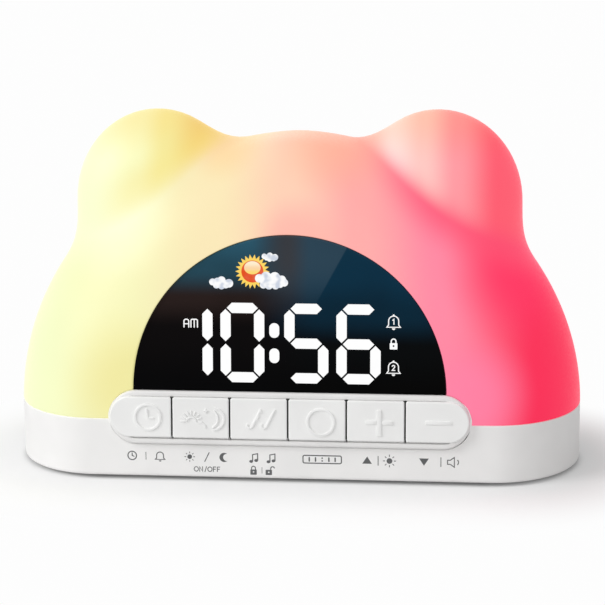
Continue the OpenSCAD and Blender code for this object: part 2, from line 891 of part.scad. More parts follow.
// Flat cable from the display board through the deck to the main board
module display_ribbon() {
    top = window_z + ribbon_drop;
    back = board_at + board_t;
    low = main_top + ribbon_stand;
    drop = (low - key_z)/cos(front_tilt) + ribbon_at*tan(front_tilt);
    low_y = front_y + ribbon_at*cos(front_tilt) + drop*sin(front_tilt);
    color("lightgray")
        translate([ribbon_x - ribbon_w/2, 0, 0]) {
            translate([0, front_y, key_z])
                rotate([-front_tilt, 0, 0])
                    rotate([90, 0, 90])
                        linear_extrude(ribbon_w)
                            polygon([
                                [back, top], [ribbon_at + ribbon_t, top],
                                [ribbon_at + ribbon_t, drop], [ribbon_at, drop],
                                [ribbon_at, top - ribbon_t], [back, top - ribbon_t]
                            ]);
            box([0, low_y, low - ribbon_t/5], [ribbon_w, ribbon_end_y, low + 4*ribbon_t/5]);
            box([0, ribbon_end_y - ribbon_t, main_top], [ribbon_w, ribbon_end_y, low]);
        }
}

// ---------------------------------------------------------------- keys

module button_bezel() {
    color("white")
        on_front()
            difference() {
                slab(-bezel_proud, bezel_depth)
                    pill(bezel_w, bezel_h);
                slab(-bezel_proud - past, bezel_depth + past)
                    pill(bezel_w - 2*rim_w, key_h);
                slab(lip_at, bezel_depth + past)
                    pill(bezel_w - 2*bezel_shell, bezel_h - 2*bezel_shell);
            }
}

// Face of one key: the row of keys cut by its own slot
module key_face(index, spread) {
    middle = (index - (key_count - 1)/2)*key_pitch;
    left = index == 0 ? middle - key_pitch/2 - rim_w : middle - (key_pitch - key_slit)/2;
    right = index == key_count - 1 ? middle + key_pitch/2 + rim_w
        : middle + (key_pitch - key_slit)/2;
    intersection() {
        pill(bezel_w - 2*rim_w - 2*key_gap + 2*spread, key_h - 2*key_gap + 2*spread);
        translate([left, -bezel_h])
            square([right - left, 2*bezel_h]);
    }
}

module key(index) {
    middle = (index - (key_count - 1)/2)*key_pitch;
    color("whitesmoke")
        on_front() {
            slab(key_face, lip_at + lip_t)
                key_face(index, 0);
            slab(lip_at + lip_gap, lip_at + lip_t)
                key_face(index, lip_w);
            slab(lip_at + lip_t - join, stem_face)
                translate([middle, 0])
                    circle(d = stem_d + 2*stem_pad_w);
        }
}

module switch_stem(index) {
    color("black")
        on_front()
            translate([(index - (key_count - 1)/2)*key_pitch, 0, 0])
                slab(stem_face, stem_face + stem_out + stem_in)
                    circle(d = stem_d);
}

module tact_switches() {
    color("dimgray")
        on_front()
            for (index = [0 : key_count - 1])
                translate([(index - (key_count - 1)/2)*key_pitch, 0, 0])
                    difference() {
                        slab(button_board_at - switch_h, button_board_at)
                            square(switch_w, center = true);
                        slab(0, button_board_at - switch_h + stem_in + key_travel + stem_room)
                            circle(d = stem_d + 2*stem_fit);
                    }
}

module button_board() {
    color("darkgreen")
        on_front()
            slab(button_board_at, button_board_at + board_t)
                pill(bezel_w, bezel_h);
}

// ---------------------------------------------------------------- electronics

module light_board() {
    color("white")
        difference() {
            box([-light_w/2, light_y0, light_z], [light_w/2, light_y0 + light_d, light_z + board_t]);
            for (side = [-1, 1], end = [-1, 1])
                translate([side*light_x, light_mid_y + end*light_hole_y, light_z - past])
                    cylinder(d = clear_d, h = board_t + 2*past);
        }
}

module rgb_leds() {
    lamp_pitch = 2*(light_x - lamp_margin)/(lamp_count - 1);
    color("ivory")
        for (i = [0 : lamp_count - 1], end = [-1, 1])
            translate([(i - (lamp_count - 1)/2)*lamp_pitch, light_mid_y + end*lamp_row, light_z + board_t])
                difference() {
                    translate([-lamp_w/2, -lamp_w/2, 0])
                        cube([lamp_w, lamp_w, lamp_h]);
                    translate([0, 0, lamp_h/2])
                        cylinder(d1 = lamp_w - 2.5*lamp_rim, d2 = lamp_w - 1.5*lamp_rim, h = lamp_h/2 + join);
                }
}

module main_board() {
    color("darkgreen")
        difference() {
            box([main_x - main_w/2, main_mid_y - main_d/2, main_z],
                [main_x + main_w/2, main_mid_y + main_d/2, main_z + board_t]);
            for (end = [-1, 1])
                translate([main_hole_x, main_mid_y + end*main_hole_y, main_z - past])
                    cylinder(d = clear_d, h = board_t + 2*past);
        }
}

module main_chips() {
    top = main_top;
    color([0.12, 0.12, 0.13]) {
        box([chip_x - chip_w/2, chip_y - chip_w/2, top],
            [chip_x + chip_w/2, chip_y + chip_w/2, top + chip_t]);
        box([driver_x - driver_w/2, driver_y - driver_d/2, top],
            [driver_x + driver_w/2, driver_y + driver_d/2, top + driver_t]);
        for (step = [0, 1])
            translate([capacitor_x, main_mid_y + step*capacitor_pitch, top])
                cylinder(d = capacitor_d, h = capacitor_h);
        // sockets of the leads
        for (y = [power_socket_y, light_socket_y])
            box([socket_x - socket_w/2, y - socket_len/2, top],
                [socket_x + socket_w/2, y + socket_len/2, top + socket_h]);
    }
}

module usb_socket() {
    shell = 0.35;
    back_wall = 1;
    tongue_t = 0.7;
    tongue_edge = 1.3;
    color("silver")
        translate([main_x, inlet_back - inlet_len, inlet_z])
            rotate([-90, 0, 0])
                difference() {
                    linear_extrude(inlet_len)
                        pill(inlet_w, inlet_h);
                    translate([0, 0, back_wall])
                        linear_extrude(inlet_len)
                            difference() {
                                pill(inlet_w - 2*shell, inlet_h - 2*shell);
                                square([inlet_w - 2*tongue_edge, tongue_t], center = true);
                            }
                }
}

// ---------------------------------------------------------------- speaker

module on_speaker() {
    translate([speaker_x, speaker_y, floor_z])
        children();
}

module speaker_basket() {
    rim_h = 1.5;
    shell = 1;
    magnet_seat = 1.5;
    hole_d = 8;
    color("dimgray")
        on_speaker()
            difference() {
                union() {
                    cylinder(d = speaker_d, h = rim_h);
                    cylinder(d1 = speaker_d - 2*shell, d2 = magnet_d + 2*magnet_seat, h = basket_h);
                }
                translate([0, 0, -join])
                    cylinder(d1 = speaker_d - 4*shell, d2 = magnet_d - shell, h = basket_h - shell);
                translate([0, 0, basket_h - 2*shell])
                    cylinder(d = hole_d, h = 3*shell);
            }
}

module speaker_cone() {
    edge = 2.8;
    paper = 0.4;
    lift = 0.6;
    coil_d = 7;
    rise = basket_h - 2.5;
    color("black")
        on_speaker()
            difference() {
                translate([0, 0, lift])
                    cylinder(d1 = speaker_d - 2*edge, d2 = coil_d, h = rise);
                translate([0, 0, lift/2])
                    cylinder(d1 = speaker_d - 2*edge - 2*paper, d2 = coil_d - 2.5*paper, h = rise - lift/2);
            }
}

module speaker_magnet() {
    color("silver")
        on_speaker()
            translate([0, 0, basket_h])
                cylinder(d = magnet_d, h = magnet_h);
}

// ---------------------------------------------------------------- batteries

function cell_y(index) = bay_front + (index + 0.5)*(cell_d + cell_gap);

// Cells lie in turn one way and the other, as the bay joins them in a row
function cell_turn(index) = index % 2 == 0 ? 1 : -1;

module battery_cell(index) {
    button_h = 1;
    button_d = 3.8;
    turn = cell_turn(index);
    color("goldenrod")
        translate([turn*cell_shift, cell_y(index), cell_z])
            rotate([0, 90*turn, 0])
                union() {
                    translate([0, 0, -cell_len/2])
                        cylinder(d = cell_d, h = cell_len - button_h);
                    translate([0, 0, cell_len/2 - button_h - join])
                        cylinder(d = button_d, h = button_h + join);
                }
}

// Plate that lies on the end wall of the bay
plate_t = 0.4;
plate_edge = 1;
module contact_plate() {
    translate([plate_edge - cell_d/2, plate_edge - cell_d/2, 0])
        cube([cell_d - 2*plate_edge, cell_d - 2*plate_edge, plate_t]);
}

// Each spring is a stack of rings that narrow towards the cell
module battery_springs() {
    wire = 0.6;
    lap = 0.1;
    coils = 7;
    foot_r = 3.6;
    taper = 0.25;
    color("silver")
        for (index = [0 : cell_count - 1])
            translate([cell_turn(index)*(-bay_x/2), cell_y(index), cell_z])
                rotate([0, 90*cell_turn(index), 0]) {
                    contact_plate();
                    for (coil = [0 : coils - 1])
                        translate([0, 0, plate_t + wire/2 + coil*(spring_len - plate_t - wire)/coils])
                            rotate_extrude()
                                translate([foot_r - taper*coil, 0])
                                    circle(d = wire + lap, $fn = 16);
                }
}

module battery_plates() {
    bump_d = 5;
    bump_tip_d = 3;
    contact_gap = 0.05;
    color("silver")
        for (index = [0 : cell_count - 1])
            translate([cell_turn(index)*bay_x/2, cell_y(index), cell_z])
                rotate([0, -90*cell_turn(index), 0]) {
                    contact_plate();
                    cylinder(d1 = bump_d, d2 = bump_tip_d, h = contact_len - contact_gap);
                }
}

// ---------------------------------------------------------------- fasteners

// Screw with its head at the origin and its shank along +Z
module screw(length) {
    difference() {
        union() {
            cylinder(d = head_d, h = head_t);
            cylinder(d = screw_d, h = head_t + length);
        }
        translate([0, 0, -join])
            for (a = [0, 90])
                rotate(a)
                    translate([-head_d/3, -slot_w/2, 0])
                        cube([2*head_d/3, slot_w, slot_t]);
    }
}

module case_screws() {
    color("silver")
        four(case_x, case_y)
            translate([0, 0, foot_h + head_sink])
                screw(floor_t + case_bite);
}

module light_screws() {
    color("silver")
        for (side = [-1, 1], end = [-1, 1])
            translate([side*light_x, light_mid_y + end*light_hole_y, light_z + board_t + head_t])
                rotate([180, 0, 0])
                    screw(light_post_h);
}

module display_screws() {
    color("silver")
        on_front()
            for (side = [-1, 1])
                translate([side*leg_x, leg_screw_y, leg_screw_z - head_t])
                    screw(deck_t + leg_bite);
}

module board_screws() {
    color("silver")
        for (end = [-1, 1])
            translate([main_hole_x, main_mid_y + end*main_hole_y, main_z + board_t + head_t])
                rotate([180, 0, 0])
                    screw(main_post_h);
}

// ---------------------------------------------------------------- leads

lead_d = 1.6;
lead_sides = 8;
lead_step = 5;
lead_z = main_top + socket_h/2;
gutter_x = (bay_x/2 + bay_wall + main_x - main_w/2)/2;
gutter_y = bay_front - bay_wall;
lead_gap = 0.2;
lead_slack = 1;
socket_side = socket_x - socket_w/2;
speaker_lead_y = power_socket_y - socket_len/4;
battery_lead_y = power_socket_y + socket_len/4;
SPEAKER_ROUTE = [
    [speaker_x + magnet_d/2 + lead_slack/2, speaker_y, floor_z + basket_h + lead_d/2 + lead_gap],
    [speaker_x + speaker_d/2, speaker_y - 4*lead_slack, floor_z + basket_h + 2*lead_slack],
    [-bay_x/2, gutter_y - 4*lead_slack, deck_z - 3*lead_slack],
    [0, gutter_y - 5*lead_slack, deck_z - 2.5*lead_slack],
    [bay_x/2 - 4*lead_slack, gutter_y - 5*lead_slack, deck_z - 3*lead_slack],
    [gutter_x + lead_slack, gutter_y - lead_slack, lead_z + lead_slack/2],
    [gutter_x + lead_slack, speaker_lead_y - 3*lead_slack, lead_z],
    [socket_side - 1.2*lead_slack, speaker_lead_y, lead_z],
    [socket_side - 1.5*lead_gap, speaker_lead_y, lead_z]
];
BATTERY_ROUTE = [
    [bay_x/2 - 5*lead_slack, gutter_y - lead_d/2 - lead_gap, cell_z],
    [bay_x/2 + 1.5*lead_slack, gutter_y - lead_d/2 - 4*lead_gap, cell_z + 2*lead_slack],
    [gutter_x - lead_slack, gutter_y + 4*lead_slack, lead_z + 2.3*lead_slack],
    [gutter_x - lead_slack, battery_lead_y - 5*lead_slack, lead_z + 2*lead_slack],
    [socket_side - 1.6*lead_slack, battery_lead_y - lead_slack/2, lead_z + 0.3*lead_slack],
    [socket_side - 2*lead_gap, battery_lead_y, lead_z]
];
LIGHT_ROUTE = [
    [socket_x, light_y0 + light_d + lead_gap, light_z + board_t/2],
    [socket_x, light_y0 + light_d + 4*lead_slack, light_z + board_t/4],
    [socket_x, light_socket_y, seam_z + lead_slack], [socket_x, light_socket_y, deck_z - 2*lead_slack],
    [socket_x, light_socket_y, main_top + socket_h + lead_gap]
];

// Point on a smooth curve through the route
function route_point(route, t) =
    let(last = len(route) - 1,
        i = min(floor(t), last - 1),
        f = t - i,
        p0 = route[max(i - 1, 0)], p1 = route[i], p2 = route[i + 1], p3 = route[min(i + 2, last)])
    0.5*(2*p1 + (p2 - p0)*f + (2*p0 - 5*p1 + 4*p2 - p3)*f*f + (3*p1 - p0 - 3*p2 + p3)*f*f*f);

// Round tube of one solid along a route
module lead(route, d) {
    rings = lead_step*(len(route) - 1);
    centres = [for (i = [0 : rings]) route_point(route, i/lead_step)];
    points = [for (i = [0 : rings], k = [0 : lead_sides - 1])
        let(along = centres[min(i + 1, rings)] - centres[max(i - 1, 0)],
            side = cross(along, [0, 0.1, 1]),
            a = side/norm(side),
            up = cross(a, along),
            b = up/norm(up))
        centres[i] + d/2*(cos(360*k/lead_sides)*a + sin(360*k/lead_sides)*b)];
    skin = [for (i = [0 : rings - 1], k = [0 : lead_sides - 1])
        let(n = (k + 1) % lead_sides)
        each quad(lead_sides*i + k, lead_sides*i + n, lead_sides*(i + 1) + n, lead_sides*(i + 1) + k)];
    first = [for (k = [lead_sides - 1 : -1 : 0]) k];
    end = [for (k = [0 : lead_sides - 1]) lead_sides*rings + k];
    polyhedron(points, concat(skin, [first, end]));
}

module speaker_lead() {
    color("red")
        lead(SPEAKER_ROUTE, lead_d);
}

module battery_lead() {
    color("black")
        lead(BATTERY_ROUTE, lead_d);
}

module light_lead() {
    color("ivory")
        lead(LIGHT_ROUTE, lead_d);
}

// ---------------------------------------------------------------- nodes

// Moves the clock to its place over the origin
module placed() {
    translate([0, place_y, 0])
        children();
}

placed() night_light_shade();
placed() base_housing();
placed() bottom_cover();
placed() battery_door();
placed() display_window();
placed() display_frame();
placed() digit_reflector();
placed() digit_segments();
placed() weather_film();
placed() display_board();
placed() display_ribbon();
placed() button_bezel();
placed() key(0);  // key_time
placed() key(1);  // key_sun_moon
placed() key(2);  // key_tunes
placed() key(3);  // key_display
placed() key(4);  // key_up
placed() key(5);  // key_down
for (index = [0 : key_count - 1])
    placed() switch_stem(index);
placed() button_board();
placed() tact_switches();
placed() light_board();
placed() rgb_leds();
placed() main_board();
placed() main_chips();
placed() usb_socket();
placed() speaker_basket();
placed() speaker_cone();
placed() speaker_magnet();
for (index = [0 : 2])
    placed() battery_cell(index);
placed() battery_springs();
placed() battery_plates();
placed() rubber_feet();
placed() case_screws();
placed() light_screws();
placed() display_screws();
placed() board_screws();
placed() speaker_lead();
placed() battery_lead();
placed() light_lead();
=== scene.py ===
from math import acos, asin, atan2, cos, degrees, pi, radians, sin, tan

import bmesh
import bpy
import numpy as np
from mathutils import Matrix, Vector

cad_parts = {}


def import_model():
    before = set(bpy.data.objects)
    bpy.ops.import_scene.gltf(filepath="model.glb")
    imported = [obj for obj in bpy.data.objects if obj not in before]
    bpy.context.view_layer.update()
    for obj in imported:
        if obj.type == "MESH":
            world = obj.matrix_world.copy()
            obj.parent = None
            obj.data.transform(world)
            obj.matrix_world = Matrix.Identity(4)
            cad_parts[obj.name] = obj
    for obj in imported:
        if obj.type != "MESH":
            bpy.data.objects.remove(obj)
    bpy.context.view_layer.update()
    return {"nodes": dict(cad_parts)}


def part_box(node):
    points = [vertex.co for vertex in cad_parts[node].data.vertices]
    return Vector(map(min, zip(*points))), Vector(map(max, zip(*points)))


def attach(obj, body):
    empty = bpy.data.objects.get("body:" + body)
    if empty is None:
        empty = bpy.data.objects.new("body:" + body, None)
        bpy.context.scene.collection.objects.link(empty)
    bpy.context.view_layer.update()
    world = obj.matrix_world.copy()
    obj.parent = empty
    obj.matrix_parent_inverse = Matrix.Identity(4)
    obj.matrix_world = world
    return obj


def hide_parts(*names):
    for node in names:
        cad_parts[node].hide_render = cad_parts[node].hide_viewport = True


# Children's alarm clock with a bear-eared night light.
# Lengths are in millimetres here and become metres in mesh_of() and where MM stands.

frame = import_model()
MM = 0.001

# -------- driving sizes

# base
BODY_W = 170.0
BODY_D = 63.0
END_LEN = 27.0
FOOT_H = 1.0
SEAM_Z = 18.3
DECK_Z = 16.3
FLOOR_Z = 3.6
BASE_WALL = 2.2
BASE_EDGE = 0.8
SEAM_EDGE = 0.35
RIB_INSET = 3.2
RIB_T = 1.2
RIB_H = 2.0

# shade
HEAD_H = 80.5
SHADE_WALL = 2.0
SIDE_POWER = 1.94
FRONT_POWER = 3.6
END_POWER = 1.2
LEAN = radians(1.15)
EAR_X = 42.0
EAR_Z = 60.5
EAR_R = 25.0
EAR_RISE = 1.085
EAR_DEPTH = 0.65
EAR_BLEND = 8.5

# front and window
TILT = radians(4.0)
WINDOW_R = 45.6
WINDOW_T = 1.5
WINDOW_UP = 8.05
FIT = 0.2

# keys and their rim
KEY_Z = 19.1
KEY_H = 12.5
KEY_PITCH = 17.0
KEY_SLIT = 0.4
KEY_GAP = 0.25
KEY_FACE = -1.55
KEY_EDGE = 0.4
KEY_CORNER = 0.5
KEY_CORNER_LEAST = 0.08
KEY_LIFT = 0.22
LIP_AT = 0.2
LIP_T = 0.8
LIP_W = 0.7
STEM_FACE = 3.6
BOSS_D = 4.4
RIM_W = 1.7
BEZEL_FACE = -0.9
BEZEL_DEPTH = 8.0
BEZEL_SHELL = 0.85
BEZEL_EDGE = 0.75
BEZEL_GROOVE = 0.3
RELIEF_H = 0.34

# display
DIGIT_UP = 22.4
DIGIT_H = 23.3
DIGIT_W = 12.8
SEGMENT_W = 3.0
SEGMENT_GAP = 0.72
COLON_X = -4.0
SUN_X = COLON_X - 6.3
SUN_UP = 43.2
MARK_SINK = 0.05

KEYS = ["time", "sun_moon", "tunes", "display", "up", "down"]

# The clock is centred on the origin, so its base sits a little behind it
base_low, base_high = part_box("base_housing")
PLACE_Y = (base_low.y + base_high.y) / 2 / MM
FRONT_Y = PLACE_Y - BODY_D / 2 - 0.2
BEZEL_HALF = KEY_H / 2 + RIM_W
BEZEL_C = 3 * KEY_PITCH + RIM_W - BEZEL_HALF


def on_front(x, depth, up):
    """Points of the tilted front: x sideways, depth into the clock, up along the face."""
    x, depth, up = np.broadcast_arrays(x, depth, up)
    y = FRONT_Y + depth * cos(TILT) + up * sin(TILT)
    z = KEY_Z - depth * sin(TILT) + up * cos(TILT)
    return np.stack([x, y, z], -1)


def on_wall(x, depth, up):
    """Points of the base's upright front wall."""
    x, depth, up = np.broadcast_arrays(x, depth, up)
    return np.stack([x, PLACE_Y - BODY_D / 2 + depth, up], -1)


# -------- colour and materials


def rgb(code):
    """Linear colour from a #rrggbb code."""
    values = [int(code[i:i + 2], 16) / 255 for i in (1, 3, 5)]
    return [v / 12.92 if v <= 0.04045 else ((v + 0.055) / 1.055) ** 2.4 for v in values]


MATERIALS = {}
# most values of a noise lie between these
NOISE = (0.3, 0.7)


class Nodes:
    """Short calls for the nodes of a tree."""

    def __init__(self, tree):
        self.tree = tree

    def set(self, socket, value):
        """Gives a node's input the output of another node, a colour code or a plain value."""
        if isinstance(value, bpy.types.NodeSocket):
            self.tree.links.new(value, socket)
        else:
            socket.default_value = (*rgb(value), 1) if isinstance(value, str) else value

    def node(self, kind, *values, **settings):
        """Adds a node and fills its inputs in order; None leaves an input as it is."""
        made = self.tree.nodes.new("ShaderNode" + kind)
        for key, value in settings.items():
            setattr(made, key, value)
        for socket, value in zip(made.inputs, values):
            if value is not None:
                self.set(socket, value)
        return made

    def math(self, operation, *values):
        return self.node("Math", *values, operation=operation).outputs[0]

    def times(self, first, second):
        return self.math("MULTIPLY", first, second)

    def distance(self, first, second):
        return self.node("VectorMath", first, second, operation="DISTANCE").outputs["Value"]

    def ramp(self, value, *stops):
        """Colour ramp over a value; each stop is (place, colour code)."""
        made = self.node("ValToRGB", value)
        made.color_ramp.interpolation = "EASE"
        elements = made.color_ramp.elements
        while len(elements) < len(stops):
            elements.new(0.5)
        # all places first, because a stop that moves can change the order of the stops
        for element, (place, _) in zip(elements, stops):
            element.position = place
        for element, (_, code) in zip(elements, stops):
            element.color = (*rgb(code), 1)
        return made.outputs[0]

    def spread(self, value, low, high, to_low=0.0, to_high=1.0):
        """Maps a value from low..high, smoothly and clamped."""
        made = self.node("MapRange", value, low, high, to_low, to_high, interpolation_type="SMOOTHSTEP")
        return made.outputs[0]

    def spread_mm(self, value, low, high, *to):
        """The same for a length, with low and high in millimetres."""
        return self.spread(value, low * MM, high * MM, *to)

    def mix(self, share, first, second, blend="MIX"):
        made = self.node("Mix", share, data_type="RGBA", blend_type=blend)
        for socket, value in zip(made.inputs[6:8], (first, second)):
            self.set(socket, value)
        return made.outputs[2]

    def grey(self, value):
        return self.node("CombineColor", value, value, value).outputs[0]

    def seen_rays(self):
        """1 for rays that show the background: from the camera, in gloss and through glass."""
        path = self.node("LightPath").outputs
        gloss = self.math("MAXIMUM", path["Is Camera Ray"], path["Is Glossy Ray"])
        return self.math("MAXIMUM", gloss, path["Is Transmission Ray"])


class Paint(Nodes):
    """A material, kept in MATERIALS under its name."""

    def __init__(self, name, colour, roughness, metallic=0.0, specular=0.5):
        material = bpy.data.materials.new(name)
        material.use_nodes = True
        material.diffuse_color = (*rgb(colour), 1)
        MATERIALS[name] = material
        super().__init__(material.node_tree)
        self.shader = self.tree.nodes["Principled BSDF"]
        self.look("Base Color", colour)
        self.look("Roughness", roughness)
        self.look("Metallic", metallic)
        self.look("Specular IOR Level", specular)
        self.place = self.node("TexCoord").outputs["Object"]

    def look(self, name, value):
        """Sets an input of the surface's shader."""
        self.set(self.shader.inputs[name], value)

    def noise(self, scale, detail=2.0, stretch=None):
        place = self.place
        if stretch:
            mapping = self.node("Mapping", place)
            mapping.inputs["Scale"].default_value = stretch
            place = mapping.outputs[0]
        made = self.node("TexNoise", place)
        made.inputs["Scale"].default_value = scale
        made.inputs["Detail"].default_value = detail
        return made.outputs["Fac"]

    def bump(self, height, distance):
        """Fine relief; distance in millimetres."""
        made = self.node("Bump")
        made.inputs["Strength"].default_value = 1.0
        made.inputs["Distance"].default_value = distance * MM
        self.set(made.inputs["Height"], height)
        self.look("Normal", made.outputs[0])

    def axes(self):
        return self.node("SeparateXYZ", self.place).outputs


def grained(name, colour, shade, roughness, grain=1800, depth=0.012, specular=0.5):
    """Moulded plastic: fine grain in the surface, slightly uneven colour and gloss."""
    paint = Paint(name, colour, roughness, specular=specular)
    grain_value = paint.noise(grain, 3)
    cloud = paint.spread(paint.noise(60), 0.35, 0.65)
    swing = 0.06
    paint.look("Base Color", paint.mix(cloud, colour, shade))
    paint.look("Roughness", paint.spread(grain_value, *NOISE, roughness - swing, roughness + swing))
    paint.bump(grain_value, depth)


def brushed(name, colour, shade, roughness):
    """Bare metal with fine drawn lines."""
    paint = Paint(name, colour, roughness, metallic=1.0)
    lines = paint.noise(12, 3, (40, 400, 40))
    paint.look("Base Color", paint.mix(paint.spread(lines, *NOISE), colour, shade))
    paint.look("Roughness", paint.spread(lines, *NOISE, roughness - 0.06, roughness + 0.1))
    paint.bump(lines, 0.006)


# Strength of the shade's glow, its share at the left end, and how light the shade is by itself
GLOW = 0.80
GLOW_LEFT = 0.86
LIT = 0.30

# Pools of light inside the shade: place sideways and above the seam, radius, colour, strength
POOLS = [
    (-57, 62, 26, "#fdffdc", 0.9),
    (-45, 10, 26, "#f6eea4", 0.9),
    (-21, 82, 15, "#fbc98a", 0.6),
    (14, 86, 24, "#fdac8c", 0.7),
    (2, 54, 14, "#fda6a2", 0.55),
    (53, 8, 20, "#fe80a4", 0.8),
    (67, 45, 25, "#fd3060", 0.85),
]

# The crease between an ear and the head runs outwards and down from the notch beside the crown
NOTCH_X = 21.0
NOTCH_UP = 80.0
CREASE_FALL = radians(29)


def shade_paint():
    """Milky shade lit from inside: pale yellow at the left, peach at the crown, pink at the right."""
    paint = Paint("shade_glow", "#fbe9cf", 0.42, specular=0.2)
    x, y, z = paint.axes()
    span = paint.math("MULTIPLY_ADD", x, 1 / (BODY_W * MM), 0.5)

    def across(*stops):
        return paint.ramp(span, *[(mm / BODY_W + 0.5, code) for mm, code in stops])

    colour = across((-80, "#f8ffcc"), (-50, "#f9f8bf"), (-22, "#fae8b8"), (0, "#fccfb4"), (20, "#fca9a6"),
                    (44, "#fd86a0"), (72, "#fa2c56"))
    flat = paint.node("CombineXYZ", x, None, z).outputs[0]
    in_front = paint.spread_mm(y, PLACE_Y + 22, PLACE_Y - 4)
    for pool_x, pool_up, radius, code, strength in POOLS:
        away = paint.distance(flat, (pool_x * MM, 0, (SEAM_Z + pool_up) * MM))
        pool = paint.spread_mm(away, radius, 0.2 * radius, 0.0, strength)
        colour = paint.mix(paint.times(pool, in_front), colour, code)
    # how far a point lies outside the ear, with the ear stretched to a ball
    ear = (EAR_X * MM, PLACE_Y * MM, (SEAM_Z + EAR_Z) * MM)
    sideways = paint.math("ABSOLUTE", x)
    deep, high = (paint.math("MULTIPLY_ADD", value, 1 / stretch, middle * (1 - 1 / stretch))
                  for value, middle, stretch in ((y, ear[1], EAR_DEPTH), (z, ear[2], EAR_RISE)))
    beyond = paint.distance(paint.node("CombineXYZ", sideways, deep, high).outputs[0], ear)
    # painted crease shade: the head is deeper pink along the right crease
    shadow = paint.spread_mm(beyond, EAR_R + 16, EAR_R + 2, 0.0, 0.85)
    colour = paint.mix(paint.times(shadow, paint.spread_mm(x, 12, 45)), colour, "#fb5071")
    # the ears gather light of their own: amber in the left one, blush in the right one
    ears = across((-60, "#fbfed2"), (-46, "#fbfcc4"), (-38, "#faf2a6"), (-28, "#fadd86"), (-20, "#fddda0"),
                  (22, "#fcc4b8"), (29, "#fddcd8"), (38, "#fcc4be"), (48, "#fb969e"), (60, "#fd5c70"))
    # painted crease shade: the left ear turns amber towards its crease, on its inner side
    crease_end = NOTCH_X * sin(CREASE_FALL) + (SEAM_Z + NOTCH_UP) * cos(CREASE_FALL)
    above = paint.math("ADD", paint.times(sideways, sin(CREASE_FALL)),
                       paint.math("MULTIPLY_ADD", z, cos(CREASE_FALL), -crease_end * MM))
    amber_crease_shade = paint.times(paint.spread_mm(above, 9, 1, 0.0, 0.35), paint.spread_mm(x, -62, -42))
    amber_crease_shade = paint.times(amber_crease_shade, paint.spread_mm(x, -8, -20))
    ears = paint.mix(amber_crease_shade, ears, "#f9e07c")
    top = paint.spread_mm(z, SEAM_Z + 72, SEAM_Z + 88, 0.0, 0.8)
    ears = paint.mix(top, ears, "#ffeed2", "MULTIPLY")
    colour = paint.mix(paint.spread_mm(beyond, EAR_R + 5, EAR_R + 0.3), colour, ears)
    level = paint.spread_mm(x, -0.4 * BODY_W, 0.4 * BODY_W, GLOW_LEFT, 1.0)
    paint.look("Emission Color", paint.mix(1.0, colour, paint.grey(level), "MULTIPLY"))
    paint.look("Emission Strength", GLOW)
    cloudy = paint.spread(paint.noise(22), 0.3, 0.75, LIT, LIT * 0.86)
    paint.look("Base Color", paint.mix(1.0, colour, paint.grey(cloudy), "MULTIPLY"))
    grain = paint.noise(1500, 3)
    paint.look("Roughness", paint.spread(grain, *NOISE, 0.36, 0.5))
    paint.bump(grain, 0.008)


def window_paint():
    """Smoked lens with a painted reflection: black below, deep teal above, with a lighter band that ends on a
    slanted edge.
    """
    paint = Paint("smoked_lens", "#020304", 0.08, specular=0.03)
    x, _, z = paint.axes()
    height = paint.math("MULTIPLY_ADD", z, 1 / (WINDOW_R * MM), -(KEY_Z + WINDOW_UP) / WINDOW_R)
    # painted reflection: the lens turns deep teal towards the top
    left = paint.ramp(height, (0.0, "#020203"), (0.4, "#0a0708"), (0.6, "#2a1f1d"), (0.78, "#274b5b"),
                      (1.0, "#2d5b70"))
    right = paint.ramp(height, (0.0, "#010101"), (0.3, "#050709"), (0.5, "#09293b"), (0.75, "#0c3349"),
                       (1.0, "#10364b"))
    colour = paint.mix(paint.spread_mm(x, -12, 10), left, right)
    # painted reflection: a lighter band in the upper part that ends on a slanted edge
    slant = 0.55
    edge = paint.math("MULTIPLY_ADD", z, -slant, x)
    reflected_band = paint.times(paint.spread_mm(edge, -20.8, -21.4), paint.spread_mm(x, -12, 0))
    reflected_band = paint.times(reflected_band, paint.spread(height, 0.45, 0.85))
    reflected_tint = paint.mix(paint.spread_mm(x, 0, 7), "#3c3f45", "#2f4859")
    colour = paint.mix(reflected_band, colour, reflected_tint)
    smoke = paint.spread(paint.noise(40), 0.4, 0.8, 0.0, 0.25)
    paint.look("Base Color", paint.mix(smoke, colour, "#050404"))
    paint.look("Roughness", paint.spread(paint.noise(300), *NOISE, 0.05, 0.12))


def lit_paint(name, colour, strength):
    """Light that shines through the lens, a little uneven as through a diffuser."""
    paint = Paint(name, colour, 0.3, specular=0.2)
    uneven = paint.spread(paint.noise(500), *NOISE, 0.0, 0.06)
    paint.look("Emission Color", paint.mix(uneven, colour, "#d8dce0"))
    paint.look("Emission Strength", strength)
    dim = [v * (1 - strength) for v in rgb(colour)]
    paint.look("Base Color", (*dim, 1))
    return paint


def gleam_paint():
    """Gleam on the sun's ball: cream above, yellow below."""
    paint = lit_paint("lit_peach", "#fff0cf", 0.9)
    low, high = (on_front(SUN_X, 0, SUN_UP + up)[2] for up in (-0.9, 3.1))
    height = paint.spread_mm(paint.axes()[2], low, high)
    paint.look("Emission Color", paint.ramp(height, (0.0, "#fcd75e"), (0.45, "#fbd3a0"), (1.0, "#fdefd0")))


def cloud_paint():
    """White puffs with blue-grey hollows."""
    paint = lit_paint("lit_cloud", "#eef0f5", 0.85)
    hollows = paint.spread(paint.noise(480, 1), 0.38, 0.62, 0.0, 0.85)
    paint.look("Emission Color", paint.mix(hollows, "#ffffff", "#b9c4d8"))


def dress(paint, nodes):
    """Gives nodes of the CAD model a paint."""
    for node in nodes.split():
        slots = frame["nodes"][node].data.materials
        slots.clear()
        slots.append(MATERIALS[paint])


